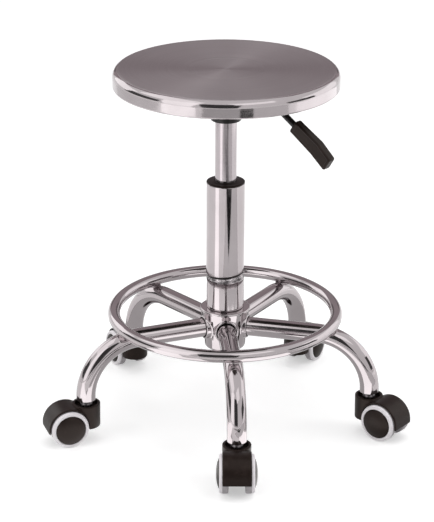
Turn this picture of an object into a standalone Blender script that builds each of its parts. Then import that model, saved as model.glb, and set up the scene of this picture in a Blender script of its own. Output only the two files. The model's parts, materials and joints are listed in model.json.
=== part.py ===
"""Backless swivel stool: round steel seat on a gas lift, bent-tube legs with a foot ring, twin-wheel casters.

Metres, +Z up. The origin is on the floor, on the column's axis. At rest the seat is near mid travel.
"""

import math

import bmesh
import bpy
from mathutils import Matrix, Vector

TAU = 2 * math.pi
WELD = 1e-7  # points closer than this are one
SHARP = math.radians(32)  # edges sharper than this stay creased

# Clearances
GAP = 0.0003  # between pieces that touch or slide on each other
WHEEL_PLAY = 0.0006  # from a turning tyre or wheel to the hood
LEVER_PLAY = 0.0006  # from the lever to the ears and slot beside it
TUBE_REST_GAP = 0.012  # left above the rod's shoulder when the seat is right down
PISTON_REST_GAP = 0.002  # left under the piston when the seat is right up

# Facets of round pieces
COLUMN_SIDES = 28
SEAT_SIDES = 44
WHEEL_SIDES = 16
HOOD_SIDES = 20
SMALL_SIDES = 12
HEX_SIDES = 6
LEG_SIDES = 12
LEG_BEND_STEPS = 7
RING_SIDES = 8
RING_STEPS = 54
EDGE_STEPS = 3

# Base
LEG_COUNT = 5
LEG_TURN = math.radians(4.6)  # of the front leg, to the right of the -Y axis
LEG_REACH = 0.196  # column axis to caster stem
LEG_R = 0.0125
LEG_WALL = 0.0015
LEG_BEND_R = 0.072
LEG_FOOT = 0.004  # straight length under the bend
LEG_LIFT = 0.0045  # caster hood to the leg's end
END_NUT_H = 0.012  # threaded nut welded into the leg's end
RING_R = 0.147  # centre line of the foot ring
RING_TUBE_R = 0.008
HUB_WALL = 0.0075  # under the flare
HUB_RISE = 0.0263  # leg axis to the hub's deck
HUB_DROP = 0.0293  # leg axis to the hub's underside
HUB_DECK_W = 0.0106  # bore to the deck's edge
HUB_DECK_T = 0.004
HUB_FLARE_H = 0.015  # from the deck's underside down to the plain body
HUB_TAPER = 0.0035  # radius lost from there to the underside
LEG_BACKING = 0.0027  # hub's wall behind a leg's root

# Gas lift
COLUMN_R = 0.025
COLUMN_WALL = 0.002
COLUMN_H = 0.1227  # from the sleeve to the guide bush
SPIGOT_R = 0.022  # lower end of the cylinder, inside sleeve and hub
SPIGOT_FLOOR_T = 0.003
SPIGOT_RECESS = 0.004  # hub's underside up to the cylinder's floor
SLEEVE_WALL = 0.0022
SLEEVE_H = 0.0493
SLEEVE_BEVEL = 0.001
BUSH_RIM_H = 0.0027
BUSH_LENGTH = 0.078
PRESSURE_R = 0.014
PRESSURE_WALL = 0.0018
EXPOSED_H = 0.0816  # pressure tube in sight at rest
STROKE_DOWN = 0.052
STROKE_UP = 0.068
ROD_R = 0.005
ROD_SHOULDER_R = 0.010
ROD_SHOULDER_H = 0.003
ROD_GROOVE_DEPTH = 0.001
ROD_TIP_H = 0.0012
BEARING_H = 0.006
BEARING_R = 0.017
CLIP_R = 0.009
CLIP_T = 0.0014
PISTON_H = 0.010
TUBE_FOOT_H = 0.015  # seal block at the pressure tube's lower end
TAPER_H = 0.034  # pressure tube inside the socket
TAPER = 0.0008  # radius lost over the taper
VALVE_BLOCK_H = 0.024
PIN_R = 0.004
PIN_LENGTH = 0.010
PIN_STAND = 0.0041  # pin's top over the tube's end

# Seat
SEAT_R = 0.145
SEAT_H = 0.0235
SEAT_EDGE_R = 0.010
SHELL_T = 0.0012
HEM_W = 0.006
DISH_R = 0.044
DISH_SLOPE_W = 0.006
DISH_DEPTH = 0.001
CORE_MARGIN = 0.013  # seat's rim to the core board's edge
CORE_T = 0.0117
PLATE_SIDE = 0.110
PLATE_T = 0.003
SCREW_SPACING = 0.084
SCREW_R = 0.00275
SCREW_HOLE_PLAY = 0.0005
SCREW_DEPTH = 0.009  # into the core
SCREW_HEAD_R = 0.0055
SCREW_HEAD_H = 0.0035
SCREW_HEAD_SHARE = 0.8  # head's lower radius against its upper one
SOCKET_H = 0.0506
SOCKET_WALL = 0.0052

# Lever
LEVER_TURN = math.radians(-40)  # direction of the lever seen from above
LEVER_R = 0.004
LEVER_PIVOT = 0.034  # column axis to the trunnions
LEVER_INNER = 0.005  # past the column axis, over the valve pin
LEVER_BEND_AT = 0.068
LEVER_BEND_R = 0.015
LEVER_BEND_STEPS = 4
LEVER_DROP = math.radians(32)
LEVER_TO_GRIP = 0.051  # from the bend's corner
LEVER_IN_GRIP = 0.030
TRUNNION_R = 0.0025
EAR_T = 0.003
EAR_HALF_L = 0.007
EAR_MARGIN = 0.004  # of ear under the trunnion's hole
GRIP_BODY = 0.0415
GRIP_TIP = 0.0265
GRIP_KINK = math.radians(9)
GRIP_START_W = 0.0125
GRIP_START_T = 0.0175
GRIP_END_W = 0.0135
GRIP_END_T = 0.019
GRIP_CHAMFER = 0.0025
GRIP_TIP_SHARE = 0.95  # end section against the kink's section

# Casters, listed from the front leg counter-clockwise seen from above
CASTER_TURNS = [math.radians(a) for a in (-4, -24, 5, -14, -3)]
CASTER_TRAIL = 0.027
WHEEL_R = 0.025
TREAD_W = 0.0078
TYRE_BEVEL = 0.0012
SHOULDER_W = 0.0042  # rounded outer edge of the tyre, beside the tread
SHOULDER_DROP = 0.0022  # radius lost across it
TYRE_FACE_W = 0.0033  # pale ring round the disc
DISC_RISE = 0.0035
DISC_FLAT_R = 0.008
DISC_FULLNESS = 0.7  # height of the dome half way to its edge, against its rise
AXLE_R = 0.003
AXLE_IN_WHEEL = 0.009
WEB_HALF = 0.0099
HOOD_HALF_W = 0.01875
HOOD_WALL = 0.0015
HOOD_BOTTOM_Z = 0.0205
HOOD_CROWN = 0.0007  # fender's top over the boss's rim
BOSS_R = 0.0185
BOSS_WALL = 0.003
BOSS_RECESS = 0.006
STEM_R = 0.005
STEM_HEX_R = 0.008
STEM_TIP = 0.002  # hood's underside to the stem's end


def flat_to_corner(radius, sides):
    """Corner radius of a regular polygon whose flats lie at the given radius."""
    return radius / math.cos(math.pi / sides)


# Caster heights
TYRE_R = flat_to_corner(WHEEL_R, WHEEL_SIDES)
WHEEL_TURN = math.pi / 2 - math.pi / WHEEL_SIDES  # puts a flat of the tread straight down
POCKET_R = flat_to_corner(TYRE_R + WHEEL_PLAY, HOOD_SIDES)
HOOD_R = POCKET_R + HOOD_WALL
HOOD_TOP_Z = WHEEL_R + HOOD_R
BOSS_TOP_Z = HOOD_TOP_Z - HOOD_CROWN
RECESS_Z = BOSS_TOP_Z - BOSS_RECESS
WHEEL_INNER = WEB_HALF + WHEEL_PLAY
WHEEL_OUTER = WHEEL_INNER + TREAD_W + SHOULDER_W
TYRE_BORE_R = TYRE_R - SHOULDER_DROP - TYRE_FACE_W
AXLE_HALF = WHEEL_INNER + AXLE_IN_WHEEL

# Base heights
LEG_END_Z = BOSS_TOP_Z + LEG_LIFT
LEG_BEND_Z = LEG_END_Z + LEG_FOOT
LEG_AXIS_Z = LEG_BEND_Z + LEG_BEND_R
LEG_BEND_X = LEG_REACH - LEG_BEND_R
HUB_BORE_R = flat_to_corner(SPIGOT_R + GAP, COLUMN_SIDES)
HUB_R = HUB_BORE_R + HUB_WALL
HUB_TOP_Z = LEG_AXIS_Z + HUB_RISE
HUB_BOTTOM_Z = LEG_AXIS_Z - HUB_DROP
LEG_SOCKET_X = HUB_BORE_R + LEG_BACKING
LEG_ROOT_X = LEG_SOCKET_X + GAP
RING_PAST_BEND = max(0.0, RING_R - LEG_BEND_X)
RING_Z = LEG_BEND_Z + math.sqrt((LEG_BEND_R + LEG_R + GAP + RING_TUBE_R) ** 2 - RING_PAST_BEND**2)

# Gas lift heights
SLEEVE_Z = HUB_TOP_Z + GAP
SLEEVE_TOP_Z = SLEEVE_Z + SLEEVE_H
COLUMN_Z = SLEEVE_TOP_Z + GAP
COLUMN_TOP_Z = COLUMN_Z + COLUMN_H
BUSH_RIM_Z = COLUMN_TOP_Z + GAP
BUSH_TOP_Z = BUSH_RIM_Z + BUSH_RIM_H
SPIGOT_Z = HUB_BOTTOM_Z + SPIGOT_RECESS
BEARING_Z = SPIGOT_Z + SPIGOT_FLOOR_T + GAP
SHOULDER_Z = BEARING_Z + BEARING_H + GAP
TUBE_Z = SHOULDER_Z + ROD_SHOULDER_H + TUBE_REST_GAP + STROKE_DOWN
PISTON_Z = TUBE_Z + TUBE_FOOT_H + PISTON_REST_GAP + STROKE_UP
SOCKET_Z = BUSH_TOP_Z + EXPOSED_H
TUBE_TOP_Z = SOCKET_Z + TAPER_H
PIN_TOP_Z = TUBE_TOP_Z + PIN_STAND
PIN_Z = PIN_TOP_Z - PIN_LENGTH
PRESSURE_BORE_R = PRESSURE_R - PRESSURE_WALL

# Seat sizes and heights
CORE_R = SEAT_R - CORE_MARGIN
SOCKET_TOP_Z = SOCKET_Z + SOCKET_H
PLATE_Z = SOCKET_TOP_Z + GAP
CORE_Z = PLATE_Z + PLATE_T + GAP
SHELL_UNDER_Z = CORE_Z + CORE_T + GAP
DISH_Z = SHELL_UNDER_Z + SHELL_T
SEAT_TOP_Z = DISH_Z + DISH_DEPTH
SEAT_RIM_Z = SEAT_TOP_Z - SEAT_H
LEVER_Z = PIN_TOP_Z + GAP + LEVER_R


def clear_scene():
    for obj in list(bpy.data.objects):
        bpy.data.objects.remove(obj, do_unlink=True)


def finish(name, colour, roughness, metallic=0.0):
    """Principled material of one colour."""
    made = bpy.data.materials.new(name)
    made.use_nodes = True
    shader = made.node_tree.nodes["Principled BSDF"]
    shader.inputs["Base Color"].default_value = (*colour, 1.0)
    shader.inputs["Roughness"].default_value = roughness
    shader.inputs["Metallic"].default_value = metallic
    return made


def frame(name, parent=None, location=(0, 0, 0), turn=0.0):
    """Empty that carries pieces, turned about Z."""
    empty = bpy.data.objects.new(name, None)
    empty.empty_display_size = LEG_R
    empty.parent = parent
    empty.location = location
    empty.rotation_euler.z = turn
    bpy.context.scene.collection.objects.link(empty)
    return empty


def piece(name, mesh, material, parent, location=(0, 0, 0), rotation=(0, 0, 0)):
    """Named sub-part with its own copy of the finish, so that each can be changed alone."""
    obj = bpy.data.objects.new(name, mesh.copy())
    obj.data.name = name
    own = material.copy()
    own.name = name
    obj.data.materials.clear()
    obj.data.materials.append(own)
    obj.parent = parent
    obj.location = location
    obj.rotation_euler = rotation
    bpy.context.scene.collection.objects.link(obj)
    return obj


def closed_mesh(bm, name):
    """Mesh from a bmesh: doubles merged, faces outwards, round faces smooth."""
    bmesh.ops.remove_doubles(bm, verts=bm.verts, dist=WELD)
    bmesh.ops.recalc_face_normals(bm, faces=bm.faces)
    mesh = bpy.data.meshes.new(name)
    bm.to_mesh(mesh)
    bm.free()
    mesh.shade_smooth()
    mesh.set_sharp_from_angle(angle=SHARP)
    return mesh


def turned(name, profile, sides, ring=False, turn=0.0):
    """Solid turned about Z from (radius, height) points: a ring has a bore, any other ends on the axis."""
    bm = bmesh.new()
    points = [bm.verts.new((radius, 0, height)) for radius, height in profile]
    for first, second in zip(points, points[1:]):
        bm.edges.new((first, second))
    if ring:
        bm.edges.new((points[-1], points[0]))
    line = bm.verts[:] + bm.edges[:]
    bmesh.ops.spin(
        bm, geom=line, axis=(0, 0, 1), cent=(0, 0, 0), angle=TAU, steps=sides, use_merge=True
    )
    bmesh.ops.rotate(bm, verts=bm.verts, cent=(0, 0, 0), matrix=Matrix.Rotation(turn, 3, "Z"))
    return closed_mesh(bm, name)


def rod(radius, low, high, sides, turn=0.0):
    """Plain cylinder on Z."""
    return turned("rod", [(0, high), (radius, high), (radius, low), (0, low)], sides, turn=turn)


def swept(name, stations, sides, ring=False):
    """Round solid along a path in the XZ plane. A station is (x, z, slope below +X, radius)."""
    bm = bmesh.new()
    loops = []
    for x, z, slope, radius in stations:
        across = Vector((math.sin(slope), 0, math.cos(slope)))
        loop = []
        for step in range(sides):
            angle = TAU * step / sides
            side = Vector((0, radius * math.sin(angle), 0))
            loop.append(bm.verts.new(Vector((x, 0, z)) + across * radius * math.cos(angle) + side))
        loops.append(loop)
    pairs = list(zip(loops, loops[1:]))
    if ring:
        pairs.append((loops[-1], loops[0]))
    else:
        bm.faces.new(loops[0])
        bm.faces.new(loops[-1])
    for first, second in pairs:
        for step in range(sides):
            after = (step + 1) % sides
            bm.faces.new((first[step], first[after], second[after], second[step]))
    return closed_mesh(bm, name)


def box(low, high):
    """Block between two corners."""
    bm = bmesh.new()
    bmesh.ops.create_cube(bm, size=1)
    low, high = Vector(low), Vector(high)
    bmesh.ops.scale(bm, vec=high - low, verts=bm.verts)
    bmesh.ops.translate(bm, vec=(low + high) / 2, verts=bm.verts)
    return closed_mesh(bm, "block")


def moved(mesh, matrix):
    """The same mesh, transformed."""
    mesh.transform(matrix)
    return mesh


def combined(name, mesh, *changes):
    """Mesh after a row of Booleans. A change is ("UNION" or "DIFFERENCE", mesh)."""
    scene = bpy.context.scene.collection.objects
    body = bpy.data.objects.new("body", mesh)
    scene.link(body)
    tools = []
    for operation, tool_mesh in changes:
        tool = bpy.data.objects.new("tool", tool_mesh)
        tool.hide_render = True
        tool.display_type = "WIRE"
        scene.link(tool)
        tools.append(tool)
        modifier = body.modifiers.new(operation, "BOOLEAN")
        modifier.operation = operation
        modifier.solver = "EXACT"
        modifier.object = tool
    graph = bpy.context.evaluated_depsgraph_get()
    bm = bmesh.new()
    bm.from_object(body, graph)
    for obj in [body, *tools]:
        bpy.data.objects.remove(obj, do_unlink=True)
    return closed_mesh(bm, name)


along_x = Matrix.Rotation(math.pi / 2, 4, "Y")  # turns a mesh made on +Z to lie on +X
along_y = Matrix.Rotation(-math.pi / 2, 4, "X")  # and on +Y


def arc(centre, radius, start, end, steps):
    """Points of an arc, both ends among them."""
    angles = [start + (end - start) * step / steps for step in range(steps + 1)]
    return [(centre[0] + radius * math.cos(a), centre[1] + radius * math.sin(a)) for a in angles]


def hub_mesh():
    """Cast star hub: bell with a flared deck, a socket for each leg's root, a bore for the gas lift."""
    deck_r = HUB_BORE_R + HUB_DECK_W
    deck_under = HUB_TOP_Z - HUB_DECK_T
    bell = turned(
        "bell",
        [
            (HUB_BORE_R, HUB_TOP_Z),
            (deck_r, HUB_TOP_Z),
            (deck_r, deck_under),
            (HUB_R, deck_under - HUB_FLARE_H),
            (HUB_R - HUB_TAPER, HUB_BOTTOM_Z),
            (HUB_BORE_R, HUB_BOTTOM_Z),
        ],
        COLUMN_SIDES,
        ring=True,
    )
    lift = Matrix.Translation((0, 0, LEG_AXIS_Z))
    changes = []
    for leg in range(LEG_COUNT):
        turn = Matrix.Rotation(leg_angle(leg), 4, "Z")
        socket = rod(flat_to_corner(LEG_R + GAP, LEG_SIDES), LEG_SOCKET_X, 2 * deck_r, LEG_SIDES)
        changes.append(("DIFFERENCE", moved(socket, turn @ lift @ along_x)))
    return combined("hub", bell, *changes)


def leg_angle(leg):
    return -math.pi / 2 + LEG_TURN + leg * TAU / LEG_COUNT


def leg_mesh():
    """Bent tube with a threaded nut welded into its lower end."""
    bore = LEG_R - LEG_WALL
    thread = flat_to_corner(STEM_R + GAP, LEG_SIDES)
    nut_top = LEG_END_Z + END_NUT_H
    down = math.pi / 2
    bend = []
    for step in range(LEG_BEND_STEPS + 1):
        slope = down * step / LEG_BEND_STEPS
        x = LEG_BEND_X + LEG_BEND_R * math.sin(slope)
        bend.append((x, LEG_BEND_Z + LEG_BEND_R * math.cos(slope), slope))
    outside = [(LEG_ROOT_X, LEG_AXIS_Z, 0.0, LEG_R)]
    outside += [(x, z, slope, LEG_R) for x, z, slope in bend]
    outside += [(LEG_REACH, LEG_END_Z, down, LEG_R)]
    inside = [(LEG_REACH, LEG_END_Z, down, thread), (LEG_REACH, nut_top, down, thread)]
    inside += [(x, z, slope, bore) for x, z, slope in reversed(bend) if z > nut_top + bore * math.cos(slope)]
    inside += [(LEG_ROOT_X, LEG_AXIS_Z, 0.0, bore)]
    return swept("leg", outside + inside, LEG_SIDES, ring=True)


def foot_ring_mesh():
    """Round tube bent into a hoop."""
    section = arc((RING_R, RING_Z), RING_TUBE_R, -math.pi / 2, TAU - math.pi / 2, RING_SIDES)[:-1]
    return turned("foot_ring", section, RING_STEPS, ring=True)


def sleeve_mesh():
    """Plain tube between hub and cylinder, bevelled at its upper edge."""
    outer = HUB_BORE_R + SLEEVE_WALL
    profile = [
        (HUB_BORE_R, SLEEVE_TOP_Z),
        (outer - SLEEVE_BEVEL, SLEEVE_TOP_Z),
        (outer, SLEEVE_TOP_Z - SLEEVE_BEVEL),
        (outer, SLEEVE_Z),
        (HUB_BORE_R, SLEEVE_Z),
    ]
    return turned("column_sleeve", profile, COLUMN_SIDES, ring=True)


def cylinder_mesh():
    """Gas lift's outer cylinder: wide tube on top, narrower spigot with a floor below."""
    bore = COLUMN_R - COLUMN_WALL
    spigot_bore = SPIGOT_R - COLUMN_WALL
    floor = SPIGOT_Z + SPIGOT_FLOOR_T
    rod_hole = flat_to_corner(ROD_R + GAP, COLUMN_SIDES)
    profile = [
        (bore, COLUMN_TOP_Z),
        (COLUMN_R, COLUMN_TOP_Z),
        (COLUMN_R, COLUMN_Z),
        (SPIGOT_R, COLUMN_Z),
        (SPIGOT_R, SPIGOT_Z),
        (rod_hole, SPIGOT_Z),
        (rod_hole, floor),
        (spigot_bore, floor),
        (spigot_bore, COLUMN_Z + COLUMN_WALL),
        (bore, COLUMN_Z + COLUMN_WALL),
    ]
    return turned("gas_cylinder", profile, COLUMN_SIDES, ring=True)


def bush_mesh():
    """Plastic guide that caps the cylinder and guides the pressure tube."""
    bore = flat_to_corner(PRESSURE_R + GAP, COLUMN_SIDES)
    body = (COLUMN_R - COLUMN_WALL) * math.cos(math.pi / COLUMN_SIDES) - GAP
    bottom = COLUMN_TOP_Z - BUSH_LENGTH
    profile = [
        (bore, BUSH_TOP_Z),
        (COLUMN_R - BUSH_RIM_H / 2, BUSH_TOP_Z),
        (COLUMN_R, BUSH_TOP_Z - BUSH_RIM_H / 2),
        (COLUMN_R, BUSH_RIM_Z),
        (body, BUSH_RIM_Z),
        (body, bottom),
        (bore, bottom),
    ]
    return turned("guide_bush", profile, COLUMN_SIDES, ring=True)


def piston_rod_mesh():
    """Rod that stands in the cylinder's floor: groove for a clip, shoulder on the bearing, piston on top."""
    piston = (PRESSURE_BORE_R - GAP) * math.cos(math.pi / COLUMN_SIDES)
    groove_top = SPIGOT_Z - GAP
    groove_bottom = groove_top - CLIP_T - 2 * GAP
    tip = groove_bottom - ROD_TIP_H
    profile = [
        (0, PISTON_Z + PISTON_H),
        (piston, PISTON_Z + PISTON_H),
        (piston, PISTON_Z),
        (ROD_R, PISTON_Z),
        (ROD_R, SHOULDER_Z + ROD_SHOULDER_H),
        (ROD_SHOULDER_R, SHOULDER_Z + ROD_SHOULDER_H),
        (ROD_SHOULDER_R, SHOULDER_Z),
        (ROD_R, SHOULDER_Z),
        (ROD_R, groove_top),
        (ROD_R - ROD_GROOVE_DEPTH, groove_top),
        (ROD_R - ROD_GROOVE_DEPTH, groove_bottom),
        (ROD_R, groove_bottom),
        (ROD_R, tip),
        (0, tip),
    ]
    return turned("piston_rod", profile, COLUMN_SIDES // 2)


def washer(name, inner, outer, low, height, sides):
    """Flat ring."""
    profile = [(inner, low + height), (outer, low + height), (outer, low), (inner, low)]
    return turned(name, profile, sides, ring=True)


def pressure_tube_mesh():
    """Sliding tube: seal block round the rod below, tapered top with a blind hole for the valve pin."""
    rod_hole = flat_to_corner(ROD_R + GAP, COLUMN_SIDES)
    pin_hole = flat_to_corner(PIN_R + GAP, COLUMN_SIDES)
    pin_floor = PIN_Z - pin_travel() - 2 * GAP
    profile = [
        (0, pin_floor),
        (pin_hole, pin_floor),
        (pin_hole, TUBE_TOP_Z),
        (PRESSURE_R - TAPER, TUBE_TOP_Z),
        (PRESSURE_R, SOCKET_Z),
        (PRESSURE_R, TUBE_Z),
        (rod_hole, TUBE_Z),
        (rod_hole, TUBE_Z + TUBE_FOOT_H),
        (PRESSURE_BORE_R, TUBE_Z + TUBE_FOOT_H),
        (PRESSURE_BORE_R, TUBE_TOP_Z - VALVE_BLOCK_H),
        (0, TUBE_TOP_Z - VALVE_BLOCK_H),
    ]
    return turned("pressure_tube", profile, COLUMN_SIDES)


def pin_travel():
    """How far the lever pushes the pin: until it is level with the tube's end."""
    return PIN_STAND - GAP


def socket_mesh():
    """Tapered collar that holds the pressure tube, slotted on one side for the lever."""
    wide = flat_to_corner(PRESSURE_R + GAP, COLUMN_SIDES)
    narrow = wide - TAPER
    outer = wide + SOCKET_WALL
    profile = [
        (narrow, SOCKET_TOP_Z),
        (outer, SOCKET_TOP_Z),
        (outer, SOCKET_Z),
        (wide, SOCKET_Z),
        (narrow, TUBE_TOP_Z),
    ]
    collar = turned("collar", profile, COLUMN_SIDES, ring=True)
    half = LEVER_R + LEVER_PLAY
    slot = box((0, -half, TUBE_TOP_Z + GAP), (2 * outer, half, SOCKET_TOP_Z + SOCKET_WALL))
    return combined("taper_socket", collar, ("DIFFERENCE", slot))


def plate_mesh():
    """Square plate with a hole at each corner and two ears that carry the lever's trunnions."""
    half = PLATE_SIDE / 2
    plate = box((-half, -half, PLATE_Z), (half, half, PLATE_Z + PLATE_T))
    inner = LEVER_R + LEVER_PLAY
    ear_foot = LEVER_Z - TRUNNION_R - EAR_MARGIN
    changes = []
    for side in (-1, 1):
        near, far = sorted((side * inner, side * (inner + EAR_T)))
        low = (LEVER_PIVOT - EAR_HALF_L, near, ear_foot)
        changes.append(("UNION", box(low, (LEVER_PIVOT + EAR_HALF_L, far, PLATE_Z + PLATE_T / 2))))
    reach = inner + 2 * EAR_T
    hole = rod(flat_to_corner(TRUNNION_R + GAP, SMALL_SIDES), -reach, reach, SMALL_SIDES)
    changes.append(("DIFFERENCE", moved(hole, Matrix.Translation((LEVER_PIVOT, 0, LEVER_Z)) @ along_y)))
    for x, y in screw_places():
        hole = rod(SCREW_R + SCREW_HOLE_PLAY, PLATE_Z - PLATE_T, PLATE_Z + 2 * PLATE_T, SMALL_SIDES)
        changes.append(("DIFFERENCE", moved(hole, Matrix.Translation((x, y, 0)))))
    return combined("mount_plate", plate, *changes)


def screw_places():
    half = SCREW_SPACING / 2
    return [(half, half), (-half, half), (-half, -half), (half, -half)]


def core_mesh():
    """Pressed board under the seat's shell, with a blind hole for each screw."""
    disc = turned(
        "disc", [(0, CORE_Z + CORE_T), (CORE_R, CORE_Z + CORE_T), (CORE_R, CORE_Z), (0, CORE_Z)], SEAT_SIDES
    )
    radius = flat_to_corner(SCREW_R + GAP, SMALL_SIDES)
    changes = []
    for x, y in screw_places():
        hole = rod(radius, CORE_Z - CORE_T, CORE_Z + SCREW_DEPTH + GAP, SMALL_SIDES)
        changes.append(("DIFFERENCE", moved(hole, Matrix.Translation((x, y, 0)))))
    return combined("seat_core", disc, *changes)


def screw_mesh():
    """Pan-head wood screw, point up."""
    head_top = PLATE_Z - GAP
    head_low = head_top - SCREW_HEAD_H
    profile = [
        (0, CORE_Z + SCREW_DEPTH),
        (SCREW_R, CORE_Z + SCREW_DEPTH - SCREW_R),
        (SCREW_R, head_top),
        (SCREW_HEAD_R, head_top),
        (SCREW_HEAD_R * SCREW_HEAD_SHARE, head_low),
        (0, head_low),
    ]
    return turned("seat_screw", profile, SMALL_SIDES)


def shell_mesh():
    """Spun steel seat: shallow dish in the middle, rounded edge, upright rim hemmed inwards."""
    inner_r = SEAT_R - SHELL_T
    edge_in = SEAT_EDGE_R - SHELL_T
    edge_r = SEAT_R - SEAT_EDGE_R
    edge_z = SEAT_TOP_Z - SEAT_EDGE_R
    top = [(0, DISH_Z), (DISH_R, DISH_Z), (DISH_R + DISH_SLOPE_W, SEAT_TOP_Z)]
    top += arc((edge_r, edge_z), SEAT_EDGE_R, math.pi / 2, 0, EDGE_STEPS)
    hem = [
        (SEAT_R, SEAT_RIM_Z),
        (SEAT_R - HEM_W, SEAT_RIM_Z),
        (SEAT_R - HEM_W, SEAT_RIM_Z + SHELL_T),
        (inner_r, SEAT_RIM_Z + SHELL_T),
    ]
    under = arc((edge_r, edge_z), edge_in, 0, math.pi / 2, EDGE_STEPS)
    under += [(DISH_R + DISH_SLOPE_W, SEAT_TOP_Z - SHELL_T), (DISH_R, SHELL_UNDER_Z), (0, SHELL_UNDER_Z)]
    return turned("seat_shell", top + hem + under, SEAT_SIDES)


def lever_mesh():
    """Bent release rod with its trunnions, about the trunnion axis."""
    half_bend = LEVER_BEND_R * math.tan(LEVER_DROP / 2)
    start = LEVER_BEND_AT - half_bend - LEVER_PIVOT
    stations = [(-LEVER_PIVOT - LEVER_INNER, 0.0, 0.0, LEVER_R)]
    for step in range(LEVER_BEND_STEPS + 1):
        slope = LEVER_DROP * step / LEVER_BEND_STEPS
        x = start + LEVER_BEND_R * math.sin(slope)
        stations.append((x, -LEVER_BEND_R * (1 - math.cos(slope)), slope, LEVER_R))
    x, z = grip_point(LEVER_IN_GRIP)
    stations.append((x, z, LEVER_DROP, LEVER_R))
    bar = swept("lever_bar", stations, SMALL_SIDES)
    reach = LEVER_R + LEVER_PLAY + EAR_T + TRUNNION_R / 2
    pin = rod(TRUNNION_R, -reach, reach, SMALL_SIDES)
    return combined("lever_rod", bar, ("UNION", moved(pin, along_y)))


def grip_point(along):
    """(x, z) on the sloping part of the lever, from the grip's mouth, about the trunnion axis."""
    reach = LEVER_TO_GRIP + along
    x = LEVER_BEND_AT - LEVER_PIVOT + reach * math.cos(LEVER_DROP)
    return x, -reach * math.sin(LEVER_DROP)


def grip_mesh():
    """Paddle grip: chamfered bar that widens to a kink and ends in a tip, with a blind hole for the rod."""
    end_slope = LEVER_DROP + GRIP_KINK
    mouth = grip_point(0)
    kink = grip_point(GRIP_BODY)
    tip = (kink[0] + GRIP_TIP * math.cos(end_slope), kink[1] - GRIP_TIP * math.sin(end_slope))
    stations = [
        (mouth, LEVER_DROP, GRIP_START_W, GRIP_START_T),
        (kink, (LEVER_DROP + end_slope) / 2, GRIP_END_W, GRIP_END_T),
        (tip, end_slope, GRIP_END_W, GRIP_END_T * GRIP_TIP_SHARE),
    ]
    bm = bmesh.new()
    loops = []
    for (x, z), slope, width, thick in stations:
        across = Vector((math.sin(slope), 0, math.cos(slope)))
        cut = GRIP_CHAMFER
        w, t = width / 2, thick / 2
        outline = [(w, t - cut), (w - cut, t), (cut - w, t), (-w, t - cut)]
        outline += [(-y, -n) for y, n in outline]
        loops.append([bm.verts.new(Vector((x, y, z)) + across * n) for y, n in outline])
    count = len(loops[0])
    for first, second in zip(loops, loops[1:]):
        for step in range(count):
            after = (step + 1) % count
            bm.faces.new((first[step], first[after], second[after], second[step]))
    bm.faces.new(loops[0])
    bm.faces.new(loops[-1])
    paddle = closed_mesh(bm, "paddle")
    hole_r = flat_to_corner(LEVER_R + GAP, SMALL_SIDES)
    outside = grip_point(-LEVER_IN_GRIP)
    inside = grip_point(LEVER_IN_GRIP + GAP)
    ends = [(*outside, LEVER_DROP, hole_r), (*inside, LEVER_DROP, hole_r)]
    return combined("lever_grip", paddle, ("DIFFERENCE", swept("hole", ends, SMALL_SIDES)))


def hood_mesh():
    """Caster hood about the stem's axis, wheels towards +X: boss, fender over the wheels, web between."""
    axle = Matrix.Translation((CASTER_TRAIL, 0, WHEEL_R)) @ along_y
    far = 3 * HOOD_HALF_W
    fender = moved(rod(HOOD_R, -HOOD_HALF_W, HOOD_HALF_W, HOOD_SIDES), axle)
    boss = rod(BOSS_R, HOOD_BOTTOM_Z / 2, BOSS_TOP_Z, HOOD_SIDES)
    below = box((-far, -far, -far), (2 * far, far, HOOD_BOTTOM_Z))
    left = moved(rod(POCKET_R, WEB_HALF, far, HOOD_SIDES), axle)
    right = moved(rod(POCKET_R, -far, -WEB_HALF, HOOD_SIDES), axle)
    recess = rod(BOSS_R - BOSS_WALL, RECESS_Z, HOOD_TOP_Z + BOSS_RECESS, HOOD_SIDES)
    stem_hole = rod(flat_to_corner(STEM_R + GAP, SMALL_SIDES), 0, HOOD_TOP_Z, SMALL_SIDES)
    axle_hole = moved(rod(flat_to_corner(AXLE_R + GAP, SMALL_SIDES), -far, far, SMALL_SIDES), axle)
    return combined(
        "caster_hood",
        fender,
        ("UNION", boss),
        ("DIFFERENCE", below),
        ("DIFFERENCE", left),
        ("DIFFERENCE", right),
        ("DIFFERENCE", recess),
        ("DIFFERENCE", stem_hole),
        ("DIFFERENCE", axle_hole),
    )


def stem_mesh():
    """Threaded stem with a hexagon between leg and hood; the hood turns on its lower end."""
    shank = rod(STEM_R, HOOD_BOTTOM_Z + STEM_TIP, LEG_END_Z + END_NUT_H, SMALL_SIDES)
    hexagon = rod(STEM_HEX_R, RECESS_Z + GAP, LEG_END_Z - GAP, HEX_SIDES)
    return combined("caster_stem", shank, ("UNION", hexagon))


def wheel_mesh():
    """Wheel body on +Z: blind bore inside, seat for the tyre, shallow domed disc outside."""
    bore = flat_to_corner(AXLE_R + GAP, WHEEL_SIDES)
    seat = TYRE_BORE_R - GAP
    middle = (seat + DISC_FLAT_R) / 2
    profile = [
        (0, WHEEL_OUTER + DISC_RISE),
        (DISC_FLAT_R, WHEEL_OUTER + DISC_RISE),
        (middle, WHEEL_OUTER + DISC_RISE * DISC_FULLNESS),
        (seat, WHEEL_OUTER),
        (seat, WHEEL_INNER),
        (bore, WHEEL_INNER),
        (bore, AXLE_HALF + GAP),
        (0, AXLE_HALF + GAP),
    ]
    return turned("wheel", profile, WHEEL_SIDES, turn=WHEEL_TURN)


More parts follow.
